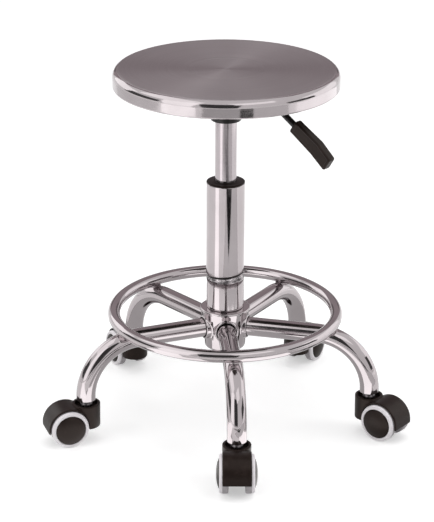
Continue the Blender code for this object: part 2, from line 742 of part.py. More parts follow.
def tyre_mesh():
    """Pale tyre on +Z: tread with a flat facing straight down, rounded shoulder, flat outer ring."""
    tread_end = WHEEL_INNER + TREAD_W
    profile = [
        (TYRE_BORE_R, WHEEL_OUTER),
        (TYRE_R - SHOULDER_DROP, WHEEL_OUTER),
        (TYRE_R - SHOULDER_DROP / 3, tread_end + SHOULDER_W * 2 / 3),
        (TYRE_R, tread_end),
        (TYRE_R, WHEEL_INNER + TYRE_BEVEL),
        (TYRE_R - TYRE_BEVEL, WHEEL_INNER),
        (TYRE_BORE_R, WHEEL_INNER),
    ]
    return turned("tyre", profile, WHEEL_SIDES, ring=True, turn=WHEEL_TURN)


def build_base(chrome, black, steel):
    base = frame("base_frame")
    piece("hub", hub_mesh(), chrome, base)
    piece("column_sleeve", sleeve_mesh(), chrome, base)
    piece("gas_cylinder", cylinder_mesh(), chrome, base)
    piece("guide_bush", bush_mesh(), black, base)
    rod_play = flat_to_corner(ROD_R + GAP, COLUMN_SIDES)
    bearing = washer("thrust_bearing", rod_play, BEARING_R, BEARING_Z, BEARING_H, COLUMN_SIDES // 2)
    piece("thrust_bearing", bearing, steel, base)
    piece("foot_ring", foot_ring_mesh(), chrome, base)
    leg = leg_mesh()
    stem = stem_mesh()
    legs = []
    for number in range(1, LEG_COUNT + 1):
        side = frame(f"leg_frame_{number}", base, turn=leg_angle(number - 1))
        piece(f"leg_{number}", leg, chrome, side)
        piece(f"caster_stem_{number}", stem, steel, side, location=(LEG_REACH, 0, 0))
        legs.append(side)
    return legs


def build_casters(legs, black, pale, steel):
    hood = hood_mesh()
    axle = rod(AXLE_R, -AXLE_HALF, AXLE_HALF, SMALL_SIDES)
    wheel = wheel_mesh()
    tyre = tyre_mesh()
    quarter = math.pi / 2
    for number, (leg, turn) in enumerate(zip(legs, CASTER_TURNS), 1):
        caster = frame(f"caster_frame_{number}", leg, (LEG_REACH, 0, 0), turn)
        piece(f"caster_hood_{number}", hood, black, caster)
        hub = frame(f"wheel_frame_{number}", caster, (CASTER_TRAIL, 0, WHEEL_R))
        piece(f"axle_{number}", axle, steel, hub, rotation=(quarter, 0, 0))
        for side, tip in (("left", -quarter), ("right", quarter)):
            piece(f"wheel_{number}_{side}", wheel, black, hub, rotation=(tip, 0, 0))
            piece(f"tyre_{number}_{side}", tyre, pale, hub, rotation=(tip, 0, 0))


def build_seat(chrome, brushed, black, paint, board, steel):
    spindle = frame("spindle_frame")
    piece("piston_rod", piston_rod_mesh(), steel, spindle)
    clip_bore = flat_to_corner(ROD_R - ROD_GROOVE_DEPTH + GAP, SMALL_SIDES)
    clip = washer("retaining_clip", clip_bore, CLIP_R, SPIGOT_Z - 2 * GAP - CLIP_T, CLIP_T, SMALL_SIDES)
    piece("retaining_clip", clip, steel, spindle)
    seat = frame("seat_frame", spindle, turn=LEVER_TURN)
    piece("pressure_tube", pressure_tube_mesh(), chrome, seat)
    piece("taper_socket", socket_mesh(), paint, seat)
    piece("mount_plate", plate_mesh(), paint, seat)
    piece("seat_core", core_mesh(), board, seat)
    piece("seat_shell", shell_mesh(), brushed, seat)
    screw = screw_mesh()
    for number, (x, y) in enumerate(screw_places(), 1):
        piece(f"seat_screw_{number}", screw, steel, seat, location=(x, y, 0))
    piece("valve_pin", rod(PIN_R, PIN_Z, PIN_TOP_Z, SMALL_SIDES), steel, seat)
    lever = frame("lever_frame", seat, (LEVER_PIVOT, 0, LEVER_Z))
    piece("lever_rod", lever_mesh(), paint, lever)
    piece("lever_grip", grip_mesh(), black, lever)


def main():
    clear_scene()
    chrome = finish("chrome", (0.72, 0.70, 0.72), 0.10, 1.0)
    brushed = finish("brushed_steel", (0.58, 0.55, 0.55), 0.32, 1.0)
    steel = finish("plain_steel", (0.50, 0.50, 0.51), 0.35, 1.0)
    black = finish("black_plastic", (0.035, 0.032, 0.033), 0.45)
    paint = finish("black_paint", (0.028, 0.027, 0.028), 0.32, 0.2)
    pale = finish("pale_tread", (0.74, 0.73, 0.74), 0.45)
    board = finish("dark_board", (0.060, 0.048, 0.042), 0.75)
    legs = build_base(chrome, black, steel)
    build_casters(legs, black, pale, steel)
    build_seat(chrome, brushed, black, paint, board, steel)


main()
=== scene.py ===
"""Looks of the swivel stool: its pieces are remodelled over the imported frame, with real edges and finishes.

Sizes are in metres.
"""

import json
import math

import bmesh
import bpy
from mathutils import Matrix, Vector


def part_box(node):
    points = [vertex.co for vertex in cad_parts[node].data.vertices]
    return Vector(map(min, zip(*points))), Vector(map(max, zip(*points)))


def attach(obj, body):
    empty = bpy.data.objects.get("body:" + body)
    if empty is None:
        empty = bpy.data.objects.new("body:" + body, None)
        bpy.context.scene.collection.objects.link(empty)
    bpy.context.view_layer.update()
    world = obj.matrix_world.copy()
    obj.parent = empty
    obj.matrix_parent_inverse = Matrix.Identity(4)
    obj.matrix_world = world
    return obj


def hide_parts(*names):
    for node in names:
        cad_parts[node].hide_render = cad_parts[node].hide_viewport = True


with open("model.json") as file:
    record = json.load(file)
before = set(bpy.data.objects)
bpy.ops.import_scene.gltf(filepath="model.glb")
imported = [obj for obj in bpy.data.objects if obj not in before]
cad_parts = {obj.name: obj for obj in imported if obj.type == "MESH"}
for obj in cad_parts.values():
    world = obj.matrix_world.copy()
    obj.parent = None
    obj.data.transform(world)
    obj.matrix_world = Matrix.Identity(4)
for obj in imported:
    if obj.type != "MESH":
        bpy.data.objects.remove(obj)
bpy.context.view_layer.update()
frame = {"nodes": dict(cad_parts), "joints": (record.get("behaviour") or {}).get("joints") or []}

QUARTER = math.pi / 2
FULL_TURN = 2 * math.pi
ACROSS = Vector((0, 1, 0))
UP = Vector((0, 0, 1))
CLEARANCE = 0.0003  # between pieces that touch
LEGS = range(1, 6)
joints = {joint["name"]: joint for joint in frame["joints"]}


def bottom(node):
    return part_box(node)[0].z


def top(node):
    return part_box(node)[1].z


# Working on a mesh

CREASE = 35  # degrees, past which an edge is shaded sharp
ALONG = 0.9  # share of an edge's length that makes it one along an axis
DOUBLES = 1e-6  # within which points are merged
SLACK = 2e-5  # within which a cut's points are merged, and a point lies on a ring


def start_from(name):
    """Names the primitive just added and applies its place to its mesh."""
    piece = bpy.context.object
    piece.name = name
    piece.data.name = name
    bpy.ops.object.transform_apply(location=True, rotation=True, scale=True)
    return piece


def hold(piece):
    """Makes a piece the only one selected."""
    bpy.ops.object.select_all(action="DESELECT")
    piece.select_set(True)
    bpy.context.view_layer.objects.active = piece


def discard(*pieces):
    for piece in pieces:
        bpy.data.objects.remove(piece, do_unlink=True)


def open_mesh(piece):
    """Opens a piece in edit mode with nothing picked."""
    hold(piece)
    bpy.ops.object.mode_set(mode="EDIT")
    bpy.ops.mesh.select_all(action="DESELECT")


def close_mesh(piece, crease=CREASE):
    """Merges doubles, turns the faces outwards and shades the round ones smooth."""
    bpy.ops.mesh.select_mode(type="VERT")
    bpy.ops.mesh.select_all(action="SELECT")
    bpy.ops.mesh.remove_doubles(threshold=DOUBLES)
    bpy.ops.mesh.normals_make_consistent(inside=False)
    bpy.ops.object.mode_set(mode="OBJECT")
    shade(piece, crease)


def shade(piece, crease=CREASE):
    hold(piece)
    bpy.ops.object.shade_smooth_by_angle(angle=math.radians(crease))


def anywhere(point):
    return True


def pick_edges(piece, wanted=anywhere, along=None):
    """In edit mode, picks the edges whose ends pass a test on their place, along one axis if it is given."""
    bpy.ops.mesh.select_mode(type="EDGE")
    bpy.ops.mesh.select_all(action="DESELECT")
    mesh = bmesh.from_edit_mesh(piece.data)
    for edge in mesh.edges:
        start, end = (point.co for point in edge.verts)
        way = end - start
        follows = along is None or abs(way.dot(along)) > ALONG * way.length
        if follows and wanted(start) and wanted(end):
            edge.select_set(True)
    bmesh.update_edit_mesh(piece.data)


def pick_faces(piece, wanted):
    """In edit mode, picks the faces whose middle and normal pass a test."""
    bpy.ops.mesh.select_mode(type="FACE")
    bpy.ops.mesh.select_all(action="DESELECT")
    mesh = bmesh.from_edit_mesh(piece.data)
    mesh.normal_update()
    for face in mesh.faces:
        if wanted(face.calc_center_median(), face.normal):
            face.select_set(True)
    bmesh.update_edit_mesh(piece.data)


def refinish_faces(piece, finish_number, wanted):
    """In edit mode, gives the faces that pass a test another of the piece's finishes."""
    pick_faces(piece, wanted)
    piece.active_material_index = finish_number
    bpy.ops.object.material_slot_assign()


def push(x=0.0, y=0.0, z=0.0):
    """Extrudes what is picked."""
    bpy.ops.mesh.extrude_region_move(TRANSFORM_OT_translate={"value": (x, y, z)})


def widen(across_x, across_y, centre):
    """Scales what is picked along X and Y about a point."""
    bpy.ops.transform.resize(value=(across_x, across_y, 1), center_override=centre)


def start_circle(name, radius, sides, location, rotation=(0, 0, 0), filled=False):
    """Adds a circle and opens it in edit mode, with all of it picked."""
    bpy.ops.object.select_all(action="DESELECT")
    fill = "NGON" if filled else "NOTHING"
    bpy.ops.mesh.primitive_circle_add(
        vertices=sides, radius=radius, fill_type=fill, location=location, rotation=rotation
    )
    piece = start_from(name)
    bpy.ops.object.mode_set(mode="EDIT")
    return piece


def turn(name, rings, sides, bore=False):
    """Piece turned about Z: a circle pulled from ring to ring, each a radius and a height."""
    radius, height = rings[0]
    piece = start_circle(name, radius, sides, (0, 0, height), filled=not bore)
    stops = [*rings[1:], rings[0]] if bore else rings[1:]
    for next_radius, next_height in stops:
        push(z=next_height - height)
        share = next_radius / radius
        widen(share, share, (0, 0, next_height))
        radius, height = next_radius, next_height
    close_mesh(piece)
    return piece


def hoop(name, radius, height, bar_r, bar_sides, steps):
    """Round bar bent into a closed ring about Z."""
    ring = start_circle(name, bar_r, bar_sides, (radius, 0, height), (QUARTER, 0, 0))
    bpy.ops.mesh.spin(steps=steps, angle=FULL_TURN, center=(0, 0, 0), axis=UP)
    close_mesh(ring)
    return ring


def rod(name, radius, start, end, sides=48):
    """Round bar between two points."""
    start, end = Vector(start), Vector(end)
    way = end - start
    bpy.ops.object.select_all(action="DESELECT")
    bpy.ops.mesh.primitive_cylinder_add(
        vertices=sides,
        radius=radius,
        depth=way.length,
        location=(start + end) / 2,
        rotation=way.to_track_quat("Z", "Y").to_euler(),
    )
    return start_from(name)


def block(name, low, high):
    """Box between two corners."""
    low, high = Vector(low), Vector(high)
    bpy.ops.object.select_all(action="DESELECT")
    bpy.ops.mesh.primitive_cube_add(size=1, location=(low + high) / 2, scale=high - low)
    return start_from(name)


def round_ring(piece, radius, height, width, steps):
    """Rounds one ring of a turned piece."""
    open_mesh(piece)
    pick_edges(piece, lambda point: abs(point.xy.length - radius) < SLACK and abs(point.z - height) < SLACK)
    bpy.ops.mesh.bevel(offset=width, offset_type="OFFSET", segments=steps, affect="EDGES")
    close_mesh(piece)


def apply_change(piece, change):
    hold(piece)
    bpy.ops.object.modifier_apply(modifier=change.name)


def round_edges(piece, width, steps=3, sharper=40):
    """Rounds every edge that is sharper than an angle."""
    change = piece.modifiers.new("round_edges", "BEVEL")
    change.width = width
    change.segments = steps
    change.limit_method = "ANGLE"
    change.angle_limit = math.radians(sharper)
    apply_change(piece, change)
    shade(piece)


def join_or_cut(piece, operation, *tools):
    """Adds the tools to a piece, or cuts them out of it."""
    for tool in tools:
        change = piece.modifiers.new("shape", "BOOLEAN")
        change.operation = operation
        change.solver = "EXACT"
        change.object = tool
        apply_change(piece, change)
        discard(tool)


def clear_slivers(piece):
    """Clears the slivers that a cut leaves."""
    open_mesh(piece)
    bpy.ops.mesh.select_all(action="SELECT")
    bpy.ops.mesh.remove_doubles(threshold=SLACK)
    bpy.ops.mesh.quads_convert_to_tris(quad_method="BEAUTY", ngon_method="BEAUTY")
    bpy.ops.mesh.dissolve_degenerate(threshold=SLACK)
    bpy.ops.mesh.quads_convert_to_tris(quad_method="BEAUTY", ngon_method="BEAUTY")
    bpy.ops.mesh.delete_loose()
    bpy.ops.object.mode_set(mode="OBJECT")


def cast(piece, voxel, rounds, share):
    """Melts the joints of a built-up piece into fillets, as in a mould, and thins the mesh after it."""
    remesh = piece.modifiers.new("melt", "REMESH")
    remesh.mode = "VOXEL"
    remesh.voxel_size = voxel
    apply_change(piece, remesh)
    relax = piece.modifiers.new("relax", "SMOOTH")
    relax.factor = 0.5
    relax.iterations = rounds
    apply_change(piece, relax)
    thin = piece.modifiers.new("thin", "DECIMATE")
    thin.ratio = share
    apply_change(piece, thin)
    shade(piece, crease=50)


def keep_form(piece):
    """Stores where each point lies on the model, so that a pattern sits alike on every copy."""
    form = piece.data.attributes.new("form", "FLOAT_VECTOR", "POINT")
    form.data.foreach_set("vector", [axis for point in piece.data.vertices for axis in point.co])


def copy_to(piece, name, location=(0, 0, 0), rotation=(0, 0, 0)):
    """Copy with a mesh of its own and its place applied to it."""
    hold(piece)
    bpy.ops.object.duplicate(linked=False)
    copy = start_from(name)
    copy.location = location
    copy.rotation_euler = rotation
    bpy.ops.object.transform_apply(location=True, rotation=True, scale=True)
    return copy


def dress(piece, body, slot, *finishes):
    """Gives a piece its finishes and its body; the slot argument is not used."""
    piece.data.materials.clear()
    for finish in finishes:
        piece.data.materials.append(finish)
    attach(piece, body)


# Finishes


def feed(tree, socket, value):
    """Gives a socket its value: a number, a colour or another node's output."""
    if isinstance(value, bpy.types.NodeSocket):
        tree.links.new(value, socket)
    else:
        socket.default_value = value


def set_inputs(tree, node, **sockets):
    """Gives a node's sockets their values. A socket's name has _ for a space."""
    for name, value in sockets.items():
        feed(tree, node.inputs[name.replace("_", " ")], value)


def add_node(tree, kind, settings=None, **sockets):
    """Adds a node with its settings and the values of its sockets."""
    node = tree.nodes.new("ShaderNode" + kind)
    for name, value in (settings or {}).items():
        setattr(node, name, value)
    set_inputs(tree, node, **sockets)
    return node


def calculate(tree, operation, first, second):
    """Value worked out from two others."""
    node = add_node(tree, "Math", {"operation": operation})
    feed(tree, node.inputs[0], first)
    feed(tree, node.inputs[1], second)
    return node.outputs["Value"]


def length_of(tree, vector):
    node = add_node(tree, "VectorMath", {"operation": "LENGTH"})
    feed(tree, node.inputs[0], vector)
    return node.outputs["Value"]


def new_finish(name, metallic, on_copies=False):
    """Empty finish: the material, its tree, its shader and the coordinates that its pattern reads."""
    made = bpy.data.materials.new(name)
    made.use_nodes = True
    tree = made.node_tree
    shader = tree.nodes["Principled BSDF"]
    set_inputs(tree, shader, Metallic=metallic)
    if on_copies:
        place = add_node(tree, "Attribute", {"attribute_name": "form"}).outputs["Vector"]
    else:
        place = add_node(tree, "TexCoord").outputs["Object"]
    return made, tree, shader, place


def speckle(tree, place, scale=1.0, detail=3.0, roughness=0.5):
    """Noise value over the surface."""
    node = add_node(tree, "TexNoise", Vector=place, Scale=scale, Detail=detail, Roughness=roughness)
    return node.outputs["Fac"]


def stretch(tree, place, scale):
    """Coordinates squeezed or drawn out along X, Y and Z."""
    return add_node(tree, "Mapping", Vector=place, Scale=scale).outputs["Vector"]


def between(tree, value, span, result=(0.0, 1.0)):
    """Maps a value from one span to another, held at both ends."""
    low, high = span
    at_low, at_high = result
    node = add_node(tree, "MapRange", Value=value, From_Min=low, From_Max=high, To_Min=at_low, To_Max=at_high)
    return node.outputs["Result"]


MIX_COLOURS = (6, 7)  # numbers of a Mix node's sockets for two colours
MIX_RESULT = 2


def tone(tree, share, *colours):
    """Colour between two, by a share from 0 to 1."""
    node = add_node(tree, "Mix", {"data_type": "RGBA"}, Factor=share)
    for socket, colour in zip(MIX_COLOURS, colours):
        is_output = isinstance(colour, bpy.types.NodeSocket)
        feed(tree, node.inputs[socket], colour if is_output else (*colour, 1.0))
    return node.outputs[MIX_RESULT]


def relief(tree, shader, height, strength, distance):
    """Fine bumps."""
    bump = add_node(tree, "Bump", Height=height, Strength=strength, Distance=distance)
    set_inputs(tree, shader, Normal=bump.outputs["Normal"])


CHROME_SHADES = (0.415, 0.377, 0.387), (0.474, 0.433, 0.444)
GROUND_SHADES = (0.400, 0.362, 0.376), (0.475, 0.432, 0.448)
BRUSHED_SHADES = (0.354, 0.322, 0.332), (0.430, 0.394, 0.406)
BRUSHED_WARM = (0.404, 0.365, 0.373)
# dark to bright: painted reflections in the dented neck's colour
DENTS_AND_PAINTED_REFLECTIONS = (0.10, 0.093, 0.095), (0.56, 0.52, 0.535)
ZINC_SHADES = (0.46, 0.46, 0.47), (0.58, 0.58, 0.60)
# zinc darkened as painted shade, for the stems down in the casters' shaded bowls
ZINC_WITH_PAINTED_SHADE = (0.12, 0.11, 0.115), (0.22, 0.20, 0.21)
BLACK_SHADES = (0.0118, 0.0070, 0.0058), (0.0245, 0.0158, 0.0134)
BLACK_GLOSS_TINT = (1.0, 0.86, 0.80, 1.0)
ENAMEL_SHADES = (0.009, 0.0075, 0.0075), (0.017, 0.0145, 0.0145)
# near-black colours painted into gaps and grooves as shade
GAP_SHADE_COLOURS = (0.010, 0.0085, 0.008), (0.030, 0.026, 0.024)
TREAD_SHADES = (0.40, 0.375, 0.39), (0.50, 0.47, 0.485)
TYRE_SHADES = (0.86, 0.82, 0.85), (0.92, 0.885, 0.91)
BOARD_SHADES = (0.038, 0.030, 0.026), (0.068, 0.054, 0.046)
BOARD_WORN = (0.105, 0.082, 0.066)


def chrome_plate(name, on_copies=False):
    """Bright plate with a faint haze and the ripple of the tube under it."""
    made, tree, shader, place = new_finish(name, metallic=1.0, on_copies=on_copies)
    cloud = between(tree, speckle(tree, place, scale=14.0, detail=4.0), (0.35, 0.68))
    haze = speckle(tree, place, scale=160.0, detail=6.0, roughness=0.65)
    dullness = between(tree, haze, (0.35, 0.7), (0.045, 0.105))
    set_inputs(tree, shader, Base_Color=tone(tree, cloud, *CHROME_SHADES), Roughness=dullness)
    relief(tree, shader, speckle(tree, place, scale=420.0, detail=2.0), strength=0.02, distance=0.0004)
    return made


def ground_steel(name):
    """Centreless-ground plate: fine rings round the bar and a soft gloss."""
    made, tree, shader, place = new_finish(name, metallic=1.0)
    rings = speckle(tree, stretch(tree, place, (12.0, 12.0, 1500.0)), detail=4.0, roughness=0.6)
    shades = tone(tree, between(tree, rings, (0.3, 0.7)), *GROUND_SHADES)
    dullness = between(tree, rings, (0.3, 0.7), (0.09, 0.15))
    set_inputs(tree, shader, Base_Color=shades, Roughness=dullness)
    relief(tree, shader, rings, strength=0.03, distance=0.0002)
    return made


def brushed_in_circles(name):
    """Stainless steel with concentric brush marks."""
    made, tree, shader, place = new_finish(name, metallic=1.0)
    parts = add_node(tree, "SeparateXYZ", Vector=place).outputs
    flat = add_node(tree, "CombineXYZ", X=parts["X"], Y=parts["Y"]).outputs["Vector"]
    drawn = add_node(tree, "SeparateXYZ", Vector=stretch(tree, flat, (5.0, 5.0, 1.0))).outputs
    outwards = calculate(tree, "MULTIPLY", length_of(tree, flat), 900.0)
    path = add_node(tree, "CombineXYZ", X=drawn["X"], Y=drawn["Y"], Z=outwards).outputs["Vector"]
    marks = speckle(tree, path, detail=5.0, roughness=0.6)
    broad = speckle(tree, place, scale=11.0)
    shades = tone(tree, between(tree, marks, (0.3, 0.7)), *BRUSHED_SHADES)
    warm = tone(tree, between(tree, broad, (0.35, 0.7), (0.0, 0.35)), shades, BRUSHED_WARM)
    dullness = between(tree, marks, (0.3, 0.7), (0.41, 0.49))
    around_z = add_node(tree, "Tangent", {"direction_type": "RADIAL", "axis": "Z"}).outputs["Tangent"]
    set_inputs(tree, shader, Base_Color=warm, Roughness=dullness)
    set_inputs(tree, shader, Anisotropic=0.76, Anisotropic_Rotation=0.25, Tangent=around_z)
    relief(tree, shader, marks, strength=0.10, distance=0.0002)
    return made


def polished_steel(name):
    """Mirror-bright rim with fine handling marks."""
    made, tree, shader, place = new_finish(name, metallic=1.0)
    cloud = between(tree, speckle(tree, place, scale=18.0, detail=4.0), (0.35, 0.68))
    marks = speckle(tree, stretch(tree, place, (60.0, 60.0, 900.0)), detail=4.0, roughness=0.6)
    dullness = between(tree, marks, (0.3, 0.72), (0.06, 0.13))
    set_inputs(tree, shader, Base_Color=tone(tree, cloud, *CHROME_SHADES), Roughness=dullness)
    relief(tree, shader, marks, strength=0.015, distance=0.0003)
    return made


def hammered_chrome(name):
    """Plate over a rolled neck that was left uneven: the dents are in the bump, and the dark and bright
    mottle in its colour is painted reflection.
    """
    made, tree, shader, place = new_finish(name, metallic=1.0)
    dents_and_reflections = speckle(tree, stretch(tree, place, (150.0, 150.0, 260.0)), roughness=0.55)
    shades = tone(tree, between(tree, dents_and_reflections, (0.35, 0.65)), *DENTS_AND_PAINTED_REFLECTIONS)
    dullness = between(tree, dents_and_reflections, (0.3, 0.7), (0.24, 0.12))
    set_inputs(tree, shader, Base_Color=shades, Roughness=dullness)
    relief(tree, shader, dents_and_reflections, strength=0.9, distance=0.0016)
    return made


def zinc_plate(name, on_copies=False, shades=ZINC_SHADES):
    """Zinc with a faint crystal pattern."""
    made, tree, shader, place = new_finish(name, metallic=1.0, on_copies=on_copies)
    crystals = add_node(tree, "TexVoronoi", Vector=place, Scale=420.0).outputs["Distance"]
    grey = speckle(tree, place, scale=260.0, detail=4.0)
    dullness = between(tree, grey, (0.3, 0.7), (0.24, 0.42))
    set_inputs(tree, shader, Base_Color=tone(tree, crystals, *shades), Roughness=dullness)
    relief(tree, shader, grey, strength=0.06, distance=0.0003)
    return made


def moulded_black(name, on_copies=False):
    """Semi-matte black plastic with the fine spark grain of its mould and paler scuffs."""
    made, tree, shader, place = new_finish(name, metallic=0.0, on_copies=on_copies)
    scuffs = between(tree, speckle(tree, place, scale=70.0, detail=6.0, roughness=0.7), (0.5, 0.78))
    dullness = between(tree, scuffs, (0.0, 1.0), (0.36, 0.52))
    set_inputs(tree, shader, Base_Color=tone(tree, scuffs, *BLACK_SHADES), Roughness=dullness)
    set_inputs(tree, shader, Specular_IOR_Level=0.20, Specular_Tint=BLACK_GLOSS_TINT)
    relief(tree, shader, speckle(tree, place, scale=2600.0, detail=2.0), strength=0.12, distance=0.0002)
    return made


def black_enamel(name):
    """Sprayed enamel with a slight orange peel."""
    made, tree, shader, place = new_finish(name, metallic=0.0)
    cloud = between(tree, speckle(tree, place, scale=45.0, detail=5.0), (0.4, 0.75))
    dullness = between(tree, cloud, (0.0, 1.0), (0.26, 0.38))
    shades = tone(tree, cloud, *ENAMEL_SHADES)
    set_inputs(tree, shader, Base_Color=shades, Roughness=dullness, Specular_IOR_Level=0.3)
    relief(tree, shader, speckle(tree, place, scale=700.0, detail=2.0), strength=0.08, distance=0.0004)
    return made


def painted_gap_shade(name):
    """Dark, dull and blotched finish for faces down in a gap: painted shade where the gap lies in shade."""
    made, tree, shader, place = new_finish(name, metallic=0.0)
    blotch = between(tree, speckle(tree, place, scale=320.0, detail=4.0), (0.35, 0.7))
    dullness = between(tree, blotch, (0.0, 1.0), (0.6, 0.8))
    shades = tone(tree, blotch, *GAP_SHADE_COLOURS)
    set_inputs(tree, shader, Base_Color=shades, Roughness=dullness, Specular_IOR_Level=0.2)
    relief(tree, shader, blotch, strength=0.1, distance=0.0003)
    return made


def soft_tyre(name, shades, rough):
    """Soft tyre plastic, slightly marbled, with a fine grain and dust in it."""
    made, tree, shader, place = new_finish(name, metallic=0.0, on_copies=True)
    cloud = between(tree, speckle(tree, place, scale=120.0, detail=5.0, roughness=0.6), (0.35, 0.7))
    grain = speckle(tree, place, scale=1500.0)
    dullness = between(tree, grain, (0.3, 0.7), (rough - 0.06, rough + 0.08))
    set_inputs(tree, shader, Base_Color=tone(tree, cloud, *shades), Roughness=dullness)
    relief(tree, shader, grain, strength=0.08, distance=0.0003)
    return made


def pressed_board(name):
    """Dark pressed board: flakes in the faces, worn paler in places."""
    made, tree, shader, place = new_finish(name, metallic=0.0)
    flattened = stretch(tree, place, (1.0, 1.0, 3.0))
    flakes = add_node(tree, "TexVoronoi", Vector=flattened, Scale=240.0).outputs["Color"]
    flake = add_node(tree, "SeparateXYZ", Vector=flakes).outputs["X"]
    wear = speckle(tree, place, scale=26.0, detail=5.0, roughness=0.6)
    flaked_tone = tone(tree, flake, *BOARD_SHADES)
    shades = tone(tree, between(tree, wear, (0.42, 0.75), (0.0, 0.6)), flaked_tone, BOARD_WORN)
    dullness = between(tree, flake, (0.0, 1.0), (0.62, 0.82))
    set_inputs(tree, shader, Base_Color=shades, Roughness=dullness)
    relief(tree, shader, flake, strength=0.2, distance=0.0003)
    return made


chrome = chrome_plate("chrome_plate")
chrome_copies = chrome_plate("chrome_plate_on_legs", on_copies=True)
ground = ground_steel("ground_chrome")
brushed = brushed_in_circles("steel_brushed_in_circles")
polished = polished_steel("steel_polished_rim")
zinc = zinc_plate("zinc_plate")
zinc_copies = zinc_plate("zinc_plate_on_screws", on_copies=True)
# zinc with painted shade for the caster stems
zinc_painted_dark = zinc_plate("zinc_with_painted_shade_on_casters", on_copies=True, shades=ZINC_WITH_PAINTED_SHADE)
black = moulded_black("black_moulding")
black_copies = moulded_black("black_moulding_on_casters", on_copies=True)
enamel = black_enamel("black_enamel")
tread_grey = soft_tyre("tyre_tread", TREAD_SHADES, rough=0.55)
tyre_white = soft_tyre("tyre_side", TYRE_SHADES, rough=0.42)
dark_board_look = pressed_board("dark_pressed_board")
neck_dents_and_reflections = hammered_chrome("chrome_on_rolled_neck")
# painted shade for the hub's root gaps and the sleeve's groove
dark_in_gaps = painted_gap_shade("painted_shade_in_gaps")


# Seat

SEAT_R = 0.145
SEAT_WALL = 0.0012
SEAT_EDGE = 0.010  # radius of the rounded edge
SEAT_CENTRE_R = 0.004
HEM = 0.006  # width of the rim's fold
HEM_ROUND = 0.0022
DISH_R = 0.044
DISH_DEPTH = 0.001
DISH_SLOPE = 0.006
DISH_ROUND = 0.0025
INNER_RING_R = 0.022  # divides the dish's flat
OUTER_RING_R = 0.092  # divides the flat round the dish
SATIN_OVER = 0.0042  # brushed surface past the start of the rounded edge
SATIN_RISE = 0.5  # least upward share of a brushed face's normal


def seat_pressing():
    """Spun seat: shallow dish, rounded edge, upright rim rolled inwards."""
    high, low = top("seat_shell"), bottom("seat_shell")
    dish = high - DISH_DEPTH
    under = high - SEAT_WALL
    inner = SEAT_R - SEAT_WALL
    hem = SEAT_R - HEM
    slope = DISH_R + DISH_SLOPE
    rings = [
        (SEAT_CENTRE_R, dish),
        (INNER_RING_R, dish),
        (DISH_R, dish),
        (slope, high),
        (OUTER_RING_R, high),
        (SEAT_R, high),
        (SEAT_R, low),
        (hem, low),
        (hem, low + SEAT_WALL),
        (inner, low + SEAT_WALL),
        (inner, under),
        (slope, under),
        (DISH_R, dish - SEAT_WALL),
        (SEAT_CENTRE_R, dish - SEAT_WALL),
    ]
    seat = turn("seat_pressing", rings, sides=168)
    round_ring(seat, SEAT_R, high, SEAT_EDGE, steps=14)
    round_ring(seat, inner, under, SEAT_EDGE - SEAT_WALL, steps=8)
    round_ring(seat, SEAT_R, low, HEM_ROUND, steps=5)
    round_ring(seat, DISH_R, dish, DISH_ROUND, steps=3)
    round_ring(seat, slope, high, DISH_ROUND, steps=3)
    dress(seat, "seat", "brushed_steel", brushed, polished)
    open_mesh(seat)
    satin_r = SEAT_R - SEAT_EDGE + SATIN_OVER
    refinish_faces(seat, 1, lambda middle, normal: middle.xy.length > satin_r or normal.z < SATIN_RISE)
    close_mesh(seat, crease=30)
    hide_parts("seat_shell")


seat_pressing()

BOARD_R = 0.132
BOARD_CENTRE_R = 0.01
BOARD_ROUND = 0.0009


def core_board():
    high, low = top("seat_core"), bottom("seat_core")
    rings = [(BOARD_CENTRE_R, high), (BOARD_R, high), (BOARD_R, low), (BOARD_CENTRE_R, low)]
    board = turn("core_board", rings, sides=128)
    round_edges(board, BOARD_ROUND, steps=2)
    dress(board, "seat", "dark_board", dark_board_look)
    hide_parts("seat_core")


core_board()

LEVER_WAY = -math.radians(40)
LEVER_Z = joints["lever_lift"]["pos_m"][2]
LEVER_PIVOT = 0.034  # column's axis to the lever's pin
LEVER_BAY = 0.0046  # half the width that is kept free for the lever


def turn_to_lever(piece, name):
    """Puts a turned copy in a piece's stead, which faces the way of the lever."""
    copy = copy_to(piece, name, rotation=(0, 0, LEVER_WAY))
    discard(piece)
    return copy


PLATE_HALF = 0.055
PLATE_T = 0.003
PLATE_CORNER = 0.013
PLATE_ROUND = 0.0006
EAR_T = 0.0030
EAR_HALF = 0.007
EAR_DROP = 0.0065  # pin's axis to the ear's end
EAR_SINK = 0.001  # plate's top to the ear's top
EAR_CORNER = 0.0055
EAR_ROUND = 0.0004
BEAD_R = 0.0202
BEAD_SIZE = 0.0022


